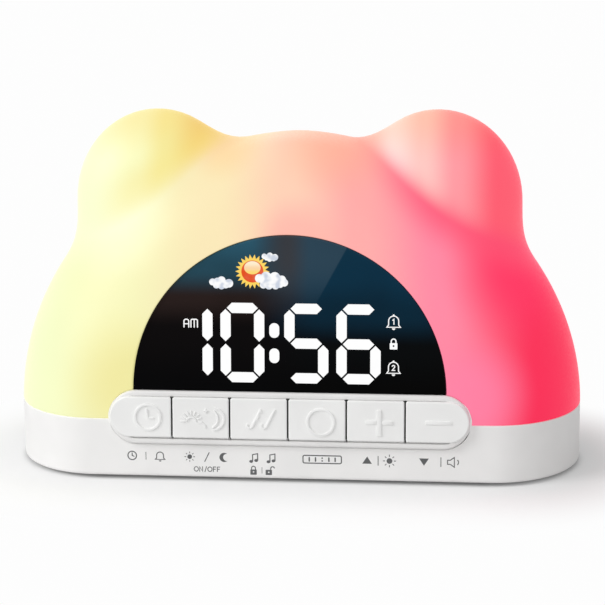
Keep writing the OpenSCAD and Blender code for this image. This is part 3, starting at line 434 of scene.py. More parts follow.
# Name, CAD nodes, two colours and roughness, then size and depth of the grain where they differ
PLASTICS = [
    ("white_plastic", "base_housing bottom_cover battery_door", "#f6f5f4", "#f2f1f0", 0.5),
    ("rim_plastic", "button_bezel", "#edeceb", "#e8e7e6", 0.5),
    ("key_plastic", "key_time key_sun_moon key_tunes key_display key_up key_down", "#f6f6f5", "#f2f2f1",
     0.45),
    ("black_plastic", "display_frame main_chips switch_stem_1 switch_stem_2 switch_stem_3 switch_stem_4 "
     "switch_stem_5 switch_stem_6", "#17181a", "#1d1e21", 0.55),
    ("reflector_plastic", "digit_reflector", "#e9e9e6", "#e2e2de", 0.5),
    ("light_guide", "digit_segments", "#f7f8fa", "#eef0f3", 0.3),
    ("printed_film", "weather_film", "#e06b2a", "#e8a13a", 0.4, 300),
    ("circuit_board", "display_board button_board main_board", "#1d5a35", "#174a2b", 0.35, 500),
    ("white_board", "light_board", "#f0f0ec", "#e4e6e0", 0.35, 500),
    ("lamp_plastic", "rgb_leds", "#efe7c8", "#f3d98a", 0.3, 400),
    ("ribbon", "display_ribbon", "#c9cbcd", "#b4b8bc", 0.5, 900),
    ("black_steel", "speaker_basket", "#202124", "#2a2b2f", 0.4, 700),
    ("cone_paper", "speaker_cone", "#26262a", "#303036", 0.85, 900, 0.05),
    ("magnet_zinc", "speaker_magnet", "#8d9096", "#7b7f86", 0.4, 500),
    ("cell_wrap", "battery_cell_1 battery_cell_2 battery_cell_3", "#b98a2e", "#c79a3e", 0.3, 300),
    ("foot_rubber", "rubber_feet", "#6f7276", "#63666a", 0.85, 1200, 0.03),
    ("red_wire", "speaker_lead", "#b8262a", "#a52024", 0.4),
    ("black_wire", "battery_lead", "#1c1c1e", "#252528", 0.4),
    ("white_wire", "light_lead", "#e8e8e4", "#dcdcd6", 0.4),
    ("grey_ink", "", "#5f6061", "#555657", 0.55, 2500, 0.004),
]
for paint, nodes, *look in PLASTICS:
    grained(paint, *look)
    dress(paint, nodes)
# painted shade: near black for the key flanks in the slits, where shade falls
grained("painted_slit_shade", "#0c0c0d", "#121213", 0.7, specular=0.2)
brushed("switch_steel", "#b9bcc0", "#a3a7ac", 0.35)
brushed("plated_steel", "#c4c7ca", "#aeb2b6", 0.3)
lit_paint("lit_white", "#ffffff", 0.93)
lit_paint("lit_yellow", "#fdd55c", 0.85)
lit_paint("lit_orange", "#e24c05", 0.92)
gleam_paint()
cloud_paint()
shade_paint()
window_paint()
dress("shade_glow", "night_light_shade")
dress("smoked_lens", "display_window")
dress("switch_steel", "tact_switches")
dress("plated_steel", "usb_socket battery_springs battery_plates case_screws light_screws display_screws "
      "board_screws")


# -------- mesh helpers

# faces that meet at more than this many degrees are shaded with a sharp edge
SHARP = 35


def added(name, data):
    """A new object in the scene."""
    made = bpy.data.objects.new(name, data)
    bpy.context.scene.collection.objects.link(made)
    return made


def rework(mesh, operation):
    """Passes a mesh through one of bmesh's operations."""
    work = bmesh.new()
    work.from_mesh(mesh)
    operation(work)
    work.to_mesh(mesh)
    work.free()


def mesh_of(name, points, faces):
    """A mesh from points in millimetres, with its faces turned outwards."""
    mesh = bpy.data.meshes.new(name)
    mesh.from_pydata((np.asarray(points, float) * MM).tolist(), [], faces)
    rework(mesh, lambda work: bmesh.ops.recalc_face_normals(work, faces=work.faces))
    return mesh


def baked(thing):
    """A new mesh of an object as its modifiers or its curve make it."""
    return bpy.data.meshes.new_from_object(thing.evaluated_get(bpy.context.evaluated_depsgraph_get()))


def mesh_piece(name, points, faces, paint, slot, body="clock", stands_for=(), sharp=SHARP, marks=None):
    """Makes a piece from points in millimetres. marks gives (paint, face numbers) for a second material."""
    mesh = mesh_of(name, points, faces)
    mesh.materials.append(MATERIALS[paint])
    if marks:
        mesh.materials.append(MATERIALS[marks[0]])
        for face in marks[1]:
            mesh.polygons[face].material_index = 1
    piece = added(name, mesh)
    smooth(mesh, sharp)
    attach(piece, body)
    if stands_for:
        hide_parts(*stands_for)
    return piece


def smooth(mesh, sharp):
    mesh.polygons.foreach_set("use_smooth", [True] * len(mesh.polygons))
    mesh.set_sharp_from_angle(angle=radians(sharp))


def unit(vectors):
    return vectors / np.linalg.norm(vectors, axis=-1, keepdims=True)


def loft(rings, closed=False, caps=True):
    """Points and faces of a skin over rings of equal length; closed joins the last ring to the first."""
    rings = np.asarray(rings, float)
    count, size, _ = rings.shape
    last = count if closed else count - 1
    faces = []
    for ring in range(last):
        here = ring * size
        there = (ring + 1) % count * size
        for step in range(size):
            after = (step + 1) % size
            faces.append((here + step, here + after, there + after, there + step))
    if caps and not closed:
        faces.append(tuple(range(size)))
        faces.append(tuple(range((count - 1) * size, count * size)))
    return rings.reshape(-1, 3), faces


def joined(*parts):
    """Joins lists of points and faces."""
    points, faces, start = [], [], 0
    for part_points, part_faces in parts:
        points.append(np.asarray(part_points, float))
        faces += [tuple(start + corner for corner in face) for face in part_faces]
        start += len(part_points)
    return np.concatenate(points), faces


def quarter(radius, steps=4):
    """(distance from the wall, distance from the face) along a rounded edge, from the wall to the face."""
    return [(radius * (1 - cos(a)), radius * (1 - sin(a)))
            for a in np.linspace(0, pi / 2, steps + 1)]


def rounded(left, right, low, high, radii, steps=8):
    """Outline with one radius, or one for each corner: lower left, lower right, upper right, upper left."""
    points = []
    corners = [(left, low, 1, 1), (right, low, -1, 1), (right, high, -1, -1), (left, high, 1, -1)]
    for number, ((x, z, sx, sz), radius) in enumerate(zip(corners, np.broadcast_to(radii, 4))):
        for a in np.linspace(pi + number * pi / 2, 1.5 * pi + number * pi / 2, steps + 1):
            points.append((x + sx * radius + radius * cos(a), z + sz * radius + radius * sin(a)))
    return np.array(points)


def pill(half_length, half_height, steps=24):
    """Outline of a bar with round ends; half_length is the distance to the end's centre."""
    reach = half_length + half_height
    return rounded(-reach, reach, -half_height, half_height, half_height, steps)


def tool(points, faces):
    """A solid for cut(), which is gone afterwards."""
    return added("tool", mesh_of("tool", points, faces))


def cut(piece, cutters, operation="DIFFERENCE"):
    """Takes the cutters' solids out of a piece, or adds them."""
    for cutter in cutters:
        step = piece.modifiers.new("cut", "BOOLEAN")
        step.operation = operation
        step.solver = "EXACT"
        step.object = cutter
    mesh = baked(piece)
    old = piece.data
    piece.modifiers.clear()
    piece.data = mesh
    bpy.data.meshes.remove(old)
    for cutter in cutters:
        data = cutter.data
        bpy.data.objects.remove(cutter)
        bpy.data.meshes.remove(data)


def upright(outline, low, high):
    """Solid for cut() from a plan outline between two heights."""
    return tool(*loft([[(x, y, z) for x, y in outline] for z in (low, high)]))


def arc(x, z, radius, start, end, steps=16, squash=1.0):
    """Points on an arc, angles in degrees."""
    return [(x + radius * cos(a), z + squash * radius * sin(a))
            for a in np.linspace(radians(start), radians(end), steps + 1)]


def disc(x, y, radius, steps=40):
    return arc(x, y, radius, 0, 360, steps)[:-1]


def block(x0, x1, y0, y1):
    return [(x0, y0), (x1, y0), (x1, y1), (x0, y1)]


# -------- shade

# Columns round the opening, and those of them round each of its ends
COLUMNS = 64.0
PILL_COLUMNS = 8.0
OPENING_R = WINDOW_R + FIT
OPENING_END = BEZEL_HALF + FIT
SEAM_ANGLE = -asin((KEY_Z - SEAM_Z) / OPENING_END)
JOIN_ANGLE = acos((OPENING_R - BEZEL_C) / OPENING_END)
ARC_ANGLE = asin((OPENING_END * sin(JOIN_ANGLE) - WINDOW_UP) / OPENING_R)


def narrowing(z, inset, power):
    """Share of its width or depth that the head has left at a height."""
    return np.maximum(1 - np.minimum(z / (HEAD_H - inset), 1) ** power, 0) ** (1 / power)


def front_reach(x, z, inset):
    """Distance of the head's front from the middle plane."""
    z = np.maximum(z, 0)
    w = (BODY_W / 2 - inset) * narrowing(z, inset, SIDE_POWER)
    d = (BODY_D / 2 - inset - z * tan(LEAN)) * narrowing(z, inset, FRONT_POWER)
    end = END_LEN - inset
    rx = np.minimum(w, end + (w - end) * (z / (HEAD_H - inset)) ** END_POWER)
    u = np.maximum(abs(x) - (w - rx), 0) / np.maximum(rx, 0.001)
    return np.where(u < 1, d * np.sqrt(np.maximum(1 - u * u, 0)), -1)


def in_head(p, inset):
    return (p[..., 2] < HEAD_H - inset) & (abs(p[..., 1]) < front_reach(p[..., 0], p[..., 2], inset))


def ear_flat(inset):
    """Depth of an ear's outer or inner skin as a share of its width."""
    return (EAR_R * EAR_DEPTH - inset) / (EAR_R - inset)


def ear_distance(p, inset):
    q = np.stack([abs(p[..., 0]) - EAR_X, p[..., 1] / ear_flat(inset), (p[..., 2] - EAR_Z) / EAR_RISE], -1)
    return np.linalg.norm(q, axis=-1) - (EAR_R - inset)


def ear_pass(u, inset):
    """How far along each direction an ear's middle is nearest."""
    x, y, z = abs(u[..., 0]), u[..., 1], u[..., 2]
    stretched = x ** 2 + (y / ear_flat(inset)) ** 2 + (z / EAR_RISE) ** 2
    return (x * EAR_X + z * EAR_Z / EAR_RISE ** 2) / stretched


def halve(low, high, inside, steps=26):
    for _ in range(steps):
        middle = (low + high) / 2
        within = inside(middle)
        low = np.where(within, middle, low)
        high = np.where(within, high, middle)
    return (low + high) / 2


def skin_reach(u, inset):
    """Distance to the softly joined head and ears along each direction."""
    shape = u.shape[:-1]
    head = halve(np.full(shape, BODY_D / 4), np.full(shape, BODY_W / 2 + HEAD_H / 4),
                 lambda r: in_head(r[..., None] * u, inset))
    near = np.maximum(head, ear_pass(u, inset))

    def distance(r):
        a = r - head
        b = ear_distance(r[..., None] * u, inset)
        h = np.maximum(EAR_BLEND - abs(a - b), 0)
        return np.minimum(a, b) - h * h / (4 * EAR_BLEND)

    outside = distance(near) >= 0
    low = np.where(outside, head, near)
    high = np.where(outside, near, near + EAR_R * EAR_RISE + EAR_BLEND)
    reach = halve(low, high, lambda r: distance(r) < 0)
    far = ear_distance(near[..., None] * u, inset) > EAR_BLEND
    return np.where(far, head, reach)


def opening_point(column):
    """Place on the edge of the opening: left round end, window arc, right round end."""
    last = COLUMNS - PILL_COLUMNS
    if PILL_COLUMNS < column < last:
        share = (column - PILL_COLUMNS) / (last - PILL_COLUMNS)
        a = pi - ARC_ANGLE - (pi - 2 * ARC_ANGLE) * share
        return OPENING_R * cos(a), WINDOW_UP + OPENING_R * sin(a)
    side = -1 if column <= PILL_COLUMNS else 1
    share = min(column, COLUMNS - column) / PILL_COLUMNS
    a = SEAM_ANGLE + (JOIN_ANGLE - SEAM_ANGLE) * share
    return side * (BEZEL_C + OPENING_END * cos(a)), OPENING_END * sin(a)


def shade_skin(columns, rows, inset):
    """Grid of points on the shade's skin, heights from the seam."""
    grid = np.zeros((len(columns), len(rows), 3))
    t = np.array(rows)[:, None]
    for number, column in enumerate(columns):
        x, up = opening_point(column)
        at_seam = column in (0, COLUMNS)
        z = 0.0 if at_seam else KEY_Z - SEAM_Z + up * cos(TILT)
        start = np.array([x, -float(front_reach(x, z, inset)), z])
        a = pi - pi * column / COLUMNS
        over = 0.65 * BODY_W * np.array([cos(a), 0, 0 if at_seam else sin(a)])
        back = np.array([0.35 * BODY_W * cos(a), BODY_D / 2, 0])
        way = (1 - t) ** 2 * start + 2 * t * (1 - t) * over + t * t * back
        u = unit(way)
        grid[number] = skin_reach(u, inset)[:, None] * u
        grid[number, 0] = start
    return grid


def shade():
    near_seam = [0, 0.03, 0.07, 0.12, 0.2, 0.3, 0.45, 0.7]
    left = near_seam + list(np.arange(1, PILL_COLUMNS, 0.5))
    columns = left + list(np.linspace(PILL_COLUMNS, COLUMNS - PILL_COLUMNS, 121))
    columns += [COLUMNS - column for column in reversed(left)]
    # rows lie closest where they cross the ridge of the ears, halfway
    even = np.linspace(0, 0.99, 110)
    crowding = 0.55
    rows = list(even + crowding * np.sin(2 * pi * even) / (2 * pi))
    rows += [0.993, 0.995, 0.9966, 0.9976, 0.9984, 0.999, 0.9995, 1.0]
    outer = shade_skin(columns, rows, 0.0)
    inner = shade_skin(columns, rows, SHADE_WALL)
    # rounded lower edge
    inward = unit(inner - outer)
    rise = np.clip(outer[..., 2], 0, SEAM_EDGE)
    slip = SEAM_EDGE - np.sqrt(SEAM_EDGE ** 2 - (SEAM_EDGE - rise) ** 2)
    outer += inward * slip[..., None]
    # rounded edge of the opening: from the opening's wall, round the corner, onto the skin
    corner = outer[:, 0].copy()
    along = unit(outer[:, 1] - corner)
    wall = unit(inner[:, 0] - corner)
    edge = 0.5
    bend = [corner + wall * (SHADE_WALL / 2), corner + wall * (edge + 0.2)]
    for share in np.linspace(0, 1, 6):
        bend.append(corner + wall * edge * (1 - share) ** 2 + along * edge * share ** 2)
    bend.append(corner + along * (edge + 0.25))
    # each column is a loop that runs inside, round the opening's edge and outside
    skin = np.concatenate([inner[:, ::-1], np.stack(bend, 1), outer[:, 1:]], 1)
    skin += [0, PLACE_Y, SEAM_Z]
    points, faces = loft(skin, caps=False)
    # flat faces on the seam at both ends, between the inner and the outer rows
    wide, tall, _ = skin.shape
    count = len(rows)
    for start in (0, (wide - 1) * tall):
        inside = start + count - 2
        outside = start + count + len(bend)
        faces.append((*range(inside + 1, outside + 1), inside))
        faces += [(inside + 1 - r, outside - 1 + r, outside + r, inside - r) for r in range(1, count - 1)]
    mesh_piece("glowing_shade", points, faces, "shade_glow", slot="shade_plastic",
               stands_for=["night_light_shade"], sharp=50)


# -------- base

# Openings: the key bar's seat, the trench behind it, the power inlet, the notch over the door
# and the ribbon's way
SEAT_D = BEZEL_DEPTH + 1.8
TRENCH_D = 10.3
INLET_X = 47
INLET_Z = 10.8
INLET_HALF = (2.9, 1.8)
DOOR_HALF = 28.9
DOOR_TOP = 2.85
RIBBON_X = (30.5, 42.5)
RIBBON_Y = (15.1, 19.7)
# Posts: places sideways and in depth, lower and upper end
POST_R = 3.3
POSTS = [((-42, 42), (-3, 7), SEAM_Z - 0.5, SEAM_Z + 6), ((-71, 71), (-11, 11), FLOOR_Z, DECK_Z + 0.5)]


def plan(inset, steps=24):
    """Outline of the base seen from above."""
    cx = BODY_W / 2 - END_LEN
    points = []
    for number, side in enumerate((1, -1, -1, 1)):
        for a in np.linspace(number * pi / 2, (number + 1) * pi / 2, steps + 1):
            points.append((side * cx + (END_LEN - inset) * cos(a),
                           PLACE_Y + (BODY_D / 2 - inset) * sin(a)))
    return points


def plan_rings(profile):
    return [[(x, y, z) for x, y in plan(inset)] for inset, z in profile]


def base():
    profile = [(BASE_WALL + 4, DECK_Z), (BASE_WALL + 0.3, DECK_Z), (BASE_WALL, DECK_Z),
               (BASE_WALL, FOOT_H + 0.4), (BASE_WALL - 0.2, FOOT_H), (BASE_EDGE + 0.2, FOOT_H)]
    profile += [(off, FOOT_H + rise) for rise, off in quarter(BASE_EDGE)]
    profile += [(0, FOOT_H + BASE_EDGE + 0.4), (0, SEAM_Z - SEAM_EDGE - 0.4)]
    profile += [(off, SEAM_Z - rise) for off, rise in quarter(SEAM_EDGE)]
    profile += [(SEAM_EDGE + 0.3, SEAM_Z), (SHADE_WALL, SEAM_Z)]
    piece = mesh_piece("white_base", *loft(plan_rings(profile)), "white_plastic", slot="white_plastic",
                       stands_for=["base_housing"])
    low, high = SEAM_Z - 0.5, SEAM_Z + RIB_H
    rib = [(RIB_INSET, low), (RIB_INSET, high), (RIB_INSET + RIB_T, high), (RIB_INSET + RIB_T, low)]
    adds = [tool(*loft(plan_rings(rib), closed=True))]
    for sides, depths, low, high in POSTS:
        adds += [upright(disc(x, PLACE_Y + y, POST_R), low, high) for x in sides for y in depths]
    cut(piece, adds, operation="UNION")
    front, back = PLACE_Y - BODY_D / 2, PLACE_Y + BODY_D / 2
    rear = (back - BASE_WALL - 1, back + 1)
    reach = BEZEL_C + OPENING_END
    seat = pill(BEZEL_C, BEZEL_HALF + BEZEL_GROOVE)
    trench = block(-reach, reach, front + BASE_WALL, FRONT_Y + TRENCH_D)
    ribbon = block(*RIBBON_X, *[FRONT_Y + y for y in RIBBON_Y])
    cut(piece, [
        tool(*loft([front_ring(seat, depth) for depth in (-10, SEAT_D)])),
        upright(trench, DECK_Z - 1, SEAM_Z + RIB_H + 1),
        tool(*loft([[(INLET_X + x, y, INLET_Z + z) for x, z in pill(*INLET_HALF, 10)] for y in rear])),
        upright(block(-DOOR_HALF, DOOR_HALF, *rear), FOOT_H - 1, DOOR_TOP),
        upright(ribbon, DECK_Z - 1, SEAM_Z + 1),
    ])
    smooth(piece.data, SHARP)


# -------- bezel, keys and window


def front_ring(outline, depth):
    outline = np.asarray(outline)
    return on_front(outline[:, 0], depth, outline[:, 1])


def bezel():
    def ring(inset, depth):
        return front_ring(pill(BEZEL_C, BEZEL_HALF - inset), depth)

    inner_edge = 0.3
    rings = [ring(0, BEZEL_DEPTH), ring(0, BEZEL_FACE + BEZEL_EDGE + 0.3)]
    rings += [ring(off, BEZEL_FACE + sink) for off, sink in quarter(BEZEL_EDGE, 5)]
    rings += [ring(BEZEL_EDGE + 0.15, BEZEL_FACE), ring(RIM_W - inner_edge - 0.1, BEZEL_FACE)]
    rings += [ring(RIM_W - off, BEZEL_FACE + sink) for off, sink in reversed(quarter(inner_edge, 3))]
    rings += [ring(RIM_W, LIP_AT), ring(BEZEL_SHELL, LIP_AT), ring(BEZEL_SHELL, BEZEL_DEPTH)]
    mesh_piece("key_bezel", *loft(rings, closed=True), "rim_plastic", slot="white_plastic",
               stands_for=["button_bezel"])


def key(index, name):
    first, last = index == 0, index == len(KEYS) - 1
    middle = (index - 2.5) * KEY_PITCH
    beside = (KEY_PITCH - KEY_SLIT) / 2
    at_end = KEY_PITCH / 2 + RIM_W - KEY_GAP
    left = middle - (at_end if first else beside)
    right = middle + (at_end if last else beside)

    def ring(inset, depth, lip=0.0):
        high = KEY_H / 2 - KEY_GAP + lip - inset
        corner = max(KEY_CORNER - inset, KEY_CORNER_LEAST)
        radii = [high if is_end else corner for is_end in (first, last, last, first)]
        outline = rounded(left - lip * first + inset, right + lip * last - inset, -high, high, radii, 12)
        return front_ring(outline + (0, KEY_LIFT), depth)

    rings = [ring(KEY_EDGE + 0.25, KEY_FACE)]
    rings += [ring(off, KEY_FACE + sink) for off, sink in reversed(quarter(KEY_EDGE))]
    rings += [ring(0, KEY_FACE + KEY_EDGE + 0.2), ring(0, LIP_AT + 0.02), ring(0, LIP_AT + 0.02, LIP_W),
              ring(0, LIP_AT + LIP_T, LIP_W)]
    points, faces = loft(rings)
    # painted shade: the flanks beside other keys are painted near black, from the rounded edge down to the
    # lip, for the shade in the slits
    size, near = len(rings[0]), 0.3
    slits = []
    for face in range((len(rings) - 6) * size, (len(rings) - 3) * size):
        after = face + 1 if (face + 1) % size else face + 1 - size
        x = (points[face][0] + points[after][0]) / 2
        if (x < left + near and not first) or (x > right - near and not last):
            slits.append(face)
    boss = loft([front_ring(disc(middle, 0, BOSS_D / 2), depth) for depth in (LIP_AT + LIP_T, STEM_FACE)])
    points, faces = joined((points, faces), boss)
    mesh_piece(f"cap_{name}", points, faces, "key_plastic", slot="key_plastic", body=f"{name}_key",
               stands_for=[f"key_{name}"], marks=("painted_slit_shade", slits))


def half_disc(inset, steps=119):
    low = degrees(asin(inset / (WINDOW_R - inset)))
    return arc(0, WINDOW_UP, WINDOW_R - inset, low, 180 - low, steps)


def window():
    edge = 0.25
    rings = [front_ring(half_disc(edge + 0.5), 0)]
    rings += [front_ring(half_disc(off), sink) for off, sink in reversed(quarter(edge, 3))]
    rings += [front_ring(half_disc(0), WINDOW_T)]
    mesh_piece("smoked_window", *loft(rings), "smoked_lens", slot="smoked_lens",
               stands_for=["display_window"])


# -------- flat marks


def leftward(way):
    return np.stack([-way[:, 1], way[:, 0]], 1)


def stroke(path, width, closed=False, ends=5):
    """Outline loops of a line of even width with round ends."""
    path = np.asarray(path, float)
    if closed:
        ahead, behind = np.roll(path, -1, 0), np.roll(path, 1, 0)
    else:
        ahead = np.concatenate([path[1:], path[-1:]])
        behind = np.concatenate([path[:1], path[:-1]])
    go_in, go_out = path - behind, ahead - path
    if not closed:
        go_in[0], go_out[-1] = go_out[0], go_in[-1]
    go_in, go_out = unit(go_in), unit(go_out)
    side = unit(leftward(go_in + go_out))
    side *= (width / 2 / np.maximum((side * leftward(go_in)).sum(1), 0.5))[:, None]
    if closed:
        return [path + side, path - side]

    def cap(centre, edge):
        start = degrees(atan2(edge[1], edge[0]))
        return arc(*centre, width / 2, start, start - 180, ends + 1)[1:-1]

    loop = [*(path + side), *cap(path[-1], side[-1]), *(path - side)[::-1], *cap(path[0], -side[0])]
    return [np.array(loop)]


def plates(shapes, lift, sink, place, rounding=0.0):
    """Thin flat plates. A shape is a list of loops, the first outside and the rest holes."""
    parts = []
    for number, loops in enumerate(shapes):
        curve = bpy.data.curves.new("mark", "CURVE")
        curve.dimensions = "2D"
        curve.fill_mode = "BOTH"
        # plates that overlap differ in height, so that none lies in the plane of its neighbour
        thick = lift + sink + 0.002 * (number % 4)
        curve.extrude = thick / 2 - rounding
        if rounding:
            curve.bevel_depth = rounding
            curve.bevel_resolution = 1
            curve.offset = -rounding
        for loop in loops:
            spline = curve.splines.new("POLY")
            spline.points.add(len(loop) - 1)
            for point, (x, z) in zip(spline.points, loop):
                point.co = (x, z, 0, 1)
            spline.use_cyclic_u = True
        holder = added("mark", curve)
        mesh = baked(holder)
        rework(mesh, lambda work: bmesh.ops.remove_doubles(work, verts=work.verts, dist=1e-4))
        flat = np.array([v.co for v in mesh.vertices], float).reshape(-1, 3)
        points = place(flat[:, 0], sink - (flat[:, 2] + thick / 2), flat[:, 1])
        parts.append((points, [tuple(face.vertices) for face in mesh.polygons]))
        bpy.data.objects.remove(holder)
        bpy.data.curves.remove(curve)
        bpy.data.meshes.remove(mesh)
    return joined(*parts)


def moved(shapes, x, z, scale=1.0):
    return [[np.asarray(loop) * scale + (x, z) for loop in loops] for loops in shapes]


def placed(*marks):
    """Marks put together, each given as (shapes, x, z) or (shapes, x, z, scale)."""
    return [shape for mark in marks for shape in moved(*mark)]


def bar(length, width):
    """Hexagonal display segment lying along x."""
    a, b = length / 2, width / 2
    return np.array([(-a, 0), (b - a, -b), (a - b, -b), (a, 0), (a - b, b), (b - a, b)])


def digit(x, segments):
    """Segments 0 to 6: top, upper right, lower right, bottom, lower left, upper left, middle."""
    dx = (DIGIT_W - SEGMENT_W) / 2
    dz = (DIGIT_H - SEGMENT_W) / 2
    flat = bar(2 * dx - SEGMENT_GAP, SEGMENT_W)
    tall = bar(dz - SEGMENT_GAP, SEGMENT_W)[:, ::-1]
    table = [(flat, 0, dz), (tall, dx, dz / 2), (tall, dx, -dz / 2), (flat, 0, -dz), (tall, -dx, -dz / 2),
             (tall, -dx, dz / 2), (flat, 0, 0)]
    chosen = [table[number] for number in segments]
    return placed(*[([[loop]], x + side, DIGIT_UP + rise) for loop, side, rise in chosen])


def numeral(which):
    """The numbers 1 and 2 as strokes, centred."""
    h = 0.75
    paths = {1: [(-0.35 * h, 0.55 * h), (0.1 * h, h), (0.1 * h, -h)],
             2: arc(0, 0.45 * h, 0.5 * h, 165, -40, 8) + [(-0.5 * h, -h), (0.55 * h, -h)]}
    return [stroke(paths[which], 0.3)]


def bell(which):
    shape = arc(0, 0.25, 1.45, 0, 180, 14) + [(-1.45, -0.9), (-1.95, -1.55), (1.95, -1.55), (1.45, -0.9)]
    clapper = arc(0, -1.85, 0.5, 180, 360, 8)
    knob = disc(0, 1.88, 0.3, 10)
    return [stroke(shape, 0.3, closed=True), [clapper], [knob]] + moved(numeral(which), 0, 0.05)


def padlock(open_shackle=False):
    body = rounded(-1.1, 1.1, -1.6, 0.25, 0.2, 3)
    hole = disc(0, -0.6, 0.28, 10)
    if open_shackle:
        shackle = [(0.7, 0.3), (0.7, 0.75)] + arc(1.35, 0.75, 0.65, 180, 20, 10)
    else:
        shackle = [(0.68, 0.3)] + arc(0, 0.75, 0.68, 0, 180, 10) + [(-0.68, 0.3)]
    return [[body, hole], stroke(shackle, 0.36)]


def morning_mark():
    """AM in thin round strokes."""
    thin, high = 0.34, 2.3

    def arch(left, right, r, *top):
        return [(left, 0), (left, high - r), *arc(left + r, high - r, r, 180, 90, 4)[1:], *top,
                *arc(right - r, high - r, r, 90, 0, 4)[1:], (right, 0)]

    a_wide, left, middle, right = 1.4, 2.05, 3.0, 3.95
    shapes = [stroke(arch(0, a_wide, 0.6), thin), stroke([(0.05, 0.95), (a_wide - 0.05, 0.95)], thin * 0.9),
              stroke(arch(left, right, 0.45, (right - 0.45, high)), thin),
              stroke([(middle, 0), (middle, high - 0.1)], thin)]
    return moved(shapes, -right / 2, -high / 2)


def cloud(lumps):
    """Star-shaped outline over round lumps (x, z, radius)."""
    loop = []
    for a in np.linspace(0, 2 * pi, 120, endpoint=False):
        d = np.array([cos(a), sin(a)])
        reach = 0.0
        for x, z, r in lumps:
            c = np.array([x, z])
            inside = r * r - c @ c + (d @ c) ** 2
            if inside > 0:
                reach = max(reach, d @ c + inside ** 0.5)
        loop.append(d * reach)
    return [[np.array(loop)]]


def sun_rays(inner, outer, count):
    """Star of pointed rays round the sun's disc, whose radius is inner."""
    root = inner * 1.17
    loop = []
    for number in range(2 * count):
        a = pi * number / count
        r = root if number % 2 else outer
        loop.append((r * cos(a), r * sin(a)))
    return [[loop]]


def lit_marks():
    """The time and its colon, AM, the two bells and the padlock."""
    up = DIGIT_UP
    near, pitch = 9.3, 15.1
    shapes = digit(COLON_X - near - pitch, [1, 2]) + digit(COLON_X - near, [0, 1, 2, 3, 4, 5])
    shapes += digit(COLON_X + near, [0, 5, 6, 2, 3]) + digit(COLON_X + near + pitch, [0, 5, 6, 4, 2, 3])
    dot_w, dot_h = 1.45, 2.15
    for rise in (-3.7, 3.7):
        shapes.append([rounded(COLON_X - dot_w, COLON_X + dot_w, up + rise - dot_h, up + rise + dot_h, 1.4)])
    side = COLON_X + 34.5
    signs = placed((morning_mark(), COLON_X - 24.4, up + 5.5), (bell(1), side, up + 6.7),
                   (bell(2), side, up - 6.7), (padlock(), side, up + 0.3))
    for name, marks in (("lit_digits", shapes), ("lit_signs", signs)):
        mesh_piece(name, *plates(marks, 0.03, MARK_SINK, on_front), "lit_white", slot="light_guide")


def weather_icon():
    """A sun behind three clouds, each piece a little in front of the one before."""
    big = [(-3.6, 0.6, 1.25), (-1.6, 1.0, 1.55), (0.9, 0.85, 1.6), (2.9, 0.25, 1.25), (3.65, -0.6, 1.1),
           (-2.4, -1.3, 1.05), (-0.8, -1.5, 1.1), (1.1, -1.4, 1.15), (2.4, -1.0, 1.1), (0, 0, 1.9)]
    small = [(-1.6, 0.25, 0.8), (0, 0.45, 0.9), (1.45, 0, 0.95), (-0.1, -0.5, 0.8), (1.1, -0.5, 0.65),
             (-1.0, -0.3, 0.65)]
    side = [(-2.5, 0.25, 1.0), (0.1, 0.7, 1.2), (2.25, -0.1, 1.25), (-1.4, -0.7, 0.95), (0.1, -0.9, 1.0),
            (-1.1, 0.5, 1.0), (1.3, -0.6, 1.0)]
    ball = 3.2
    layers = [
        ("weather_rays", moved(sun_rays(ball, 5.0, 22), SUN_X, SUN_UP), "lit_yellow", 0.03),
        ("weather_disc", [[disc(SUN_X, SUN_UP, ball)]], "lit_orange", 0.05),
        ("weather_gleam", [[arc(SUN_X, SUN_UP + 1.1, 2.4, 0, 345, 24, 0.8)]], "lit_peach", 0.07),
        ("weather_clouds", placed((cloud(big), -4.7, 40.65), (cloud(small), -5.2, 47.4),
                                  (cloud(side), -19.4, 39.8)), "lit_cloud", 0.09),
    ]
    for name, shapes, paint, lift in layers:
        mesh_piece(name, *plates(shapes, lift, MARK_SINK, on_front), paint, slot="printed_film")


def sun_sign(radius, rays):
    shapes = [[disc(0, 0, radius, 20)]]
    for number in range(rays):
        a = 2 * pi * number / rays
        ray = radius * np.array([cos(a), sin(a)])
        shapes.append(stroke([1.6 * ray, 2.1 * ray], radius * 0.3, ends=3))
    return shapes


def crescent(radius):
    outer = arc(0, 0, radius, 50, 310, 18)
    inner = arc(radius * 0.55, 0, radius * 0.78, 275, 85, 14)
    return [[outer + inner]]


def speaker_sign():
    horn = [(-1.3, -0.5), (-0.65, -0.5), (0.3, -1.2), (0.3, 1.2), (-0.65, 0.5), (-1.3, 0.5)]
    return [stroke(horn, 0.24, closed=True), stroke(arc(0.55, 0, 0.75, -45, 45, 6), 0.24)]


def letter(which):
    """Plain capitals for ON/OFF, one unit high."""
    paths = {"O": [arc(0.4, 0.5, 0.44, 0, 360, 20, 1.1)[:-1]],
             "N": [[(0, 0), (0, 1), (0.6, 0), (0.6, 1)]],
             "F": [[(0, 0), (0, 1), (0.5, 1)], [(0, 0.52), (0.42, 0.52)]],
             "/": [[(0, -0.05), (0.35, 1.05)]]}
    return [stroke(path, 0.17, closed=which == "O", ends=3) for path in paths[which]]


def bell_sign():
    shape = arc(0, 0.15, 0.85, 0, 180, 12) + [(-0.85, -0.5), (-1.2, -0.85), (1.2, -0.85), (0.85, -0.5)]
    return [stroke(shape, 0.24, closed=True), [arc(0, -1.08, 0.32, 180, 360, 6)]]


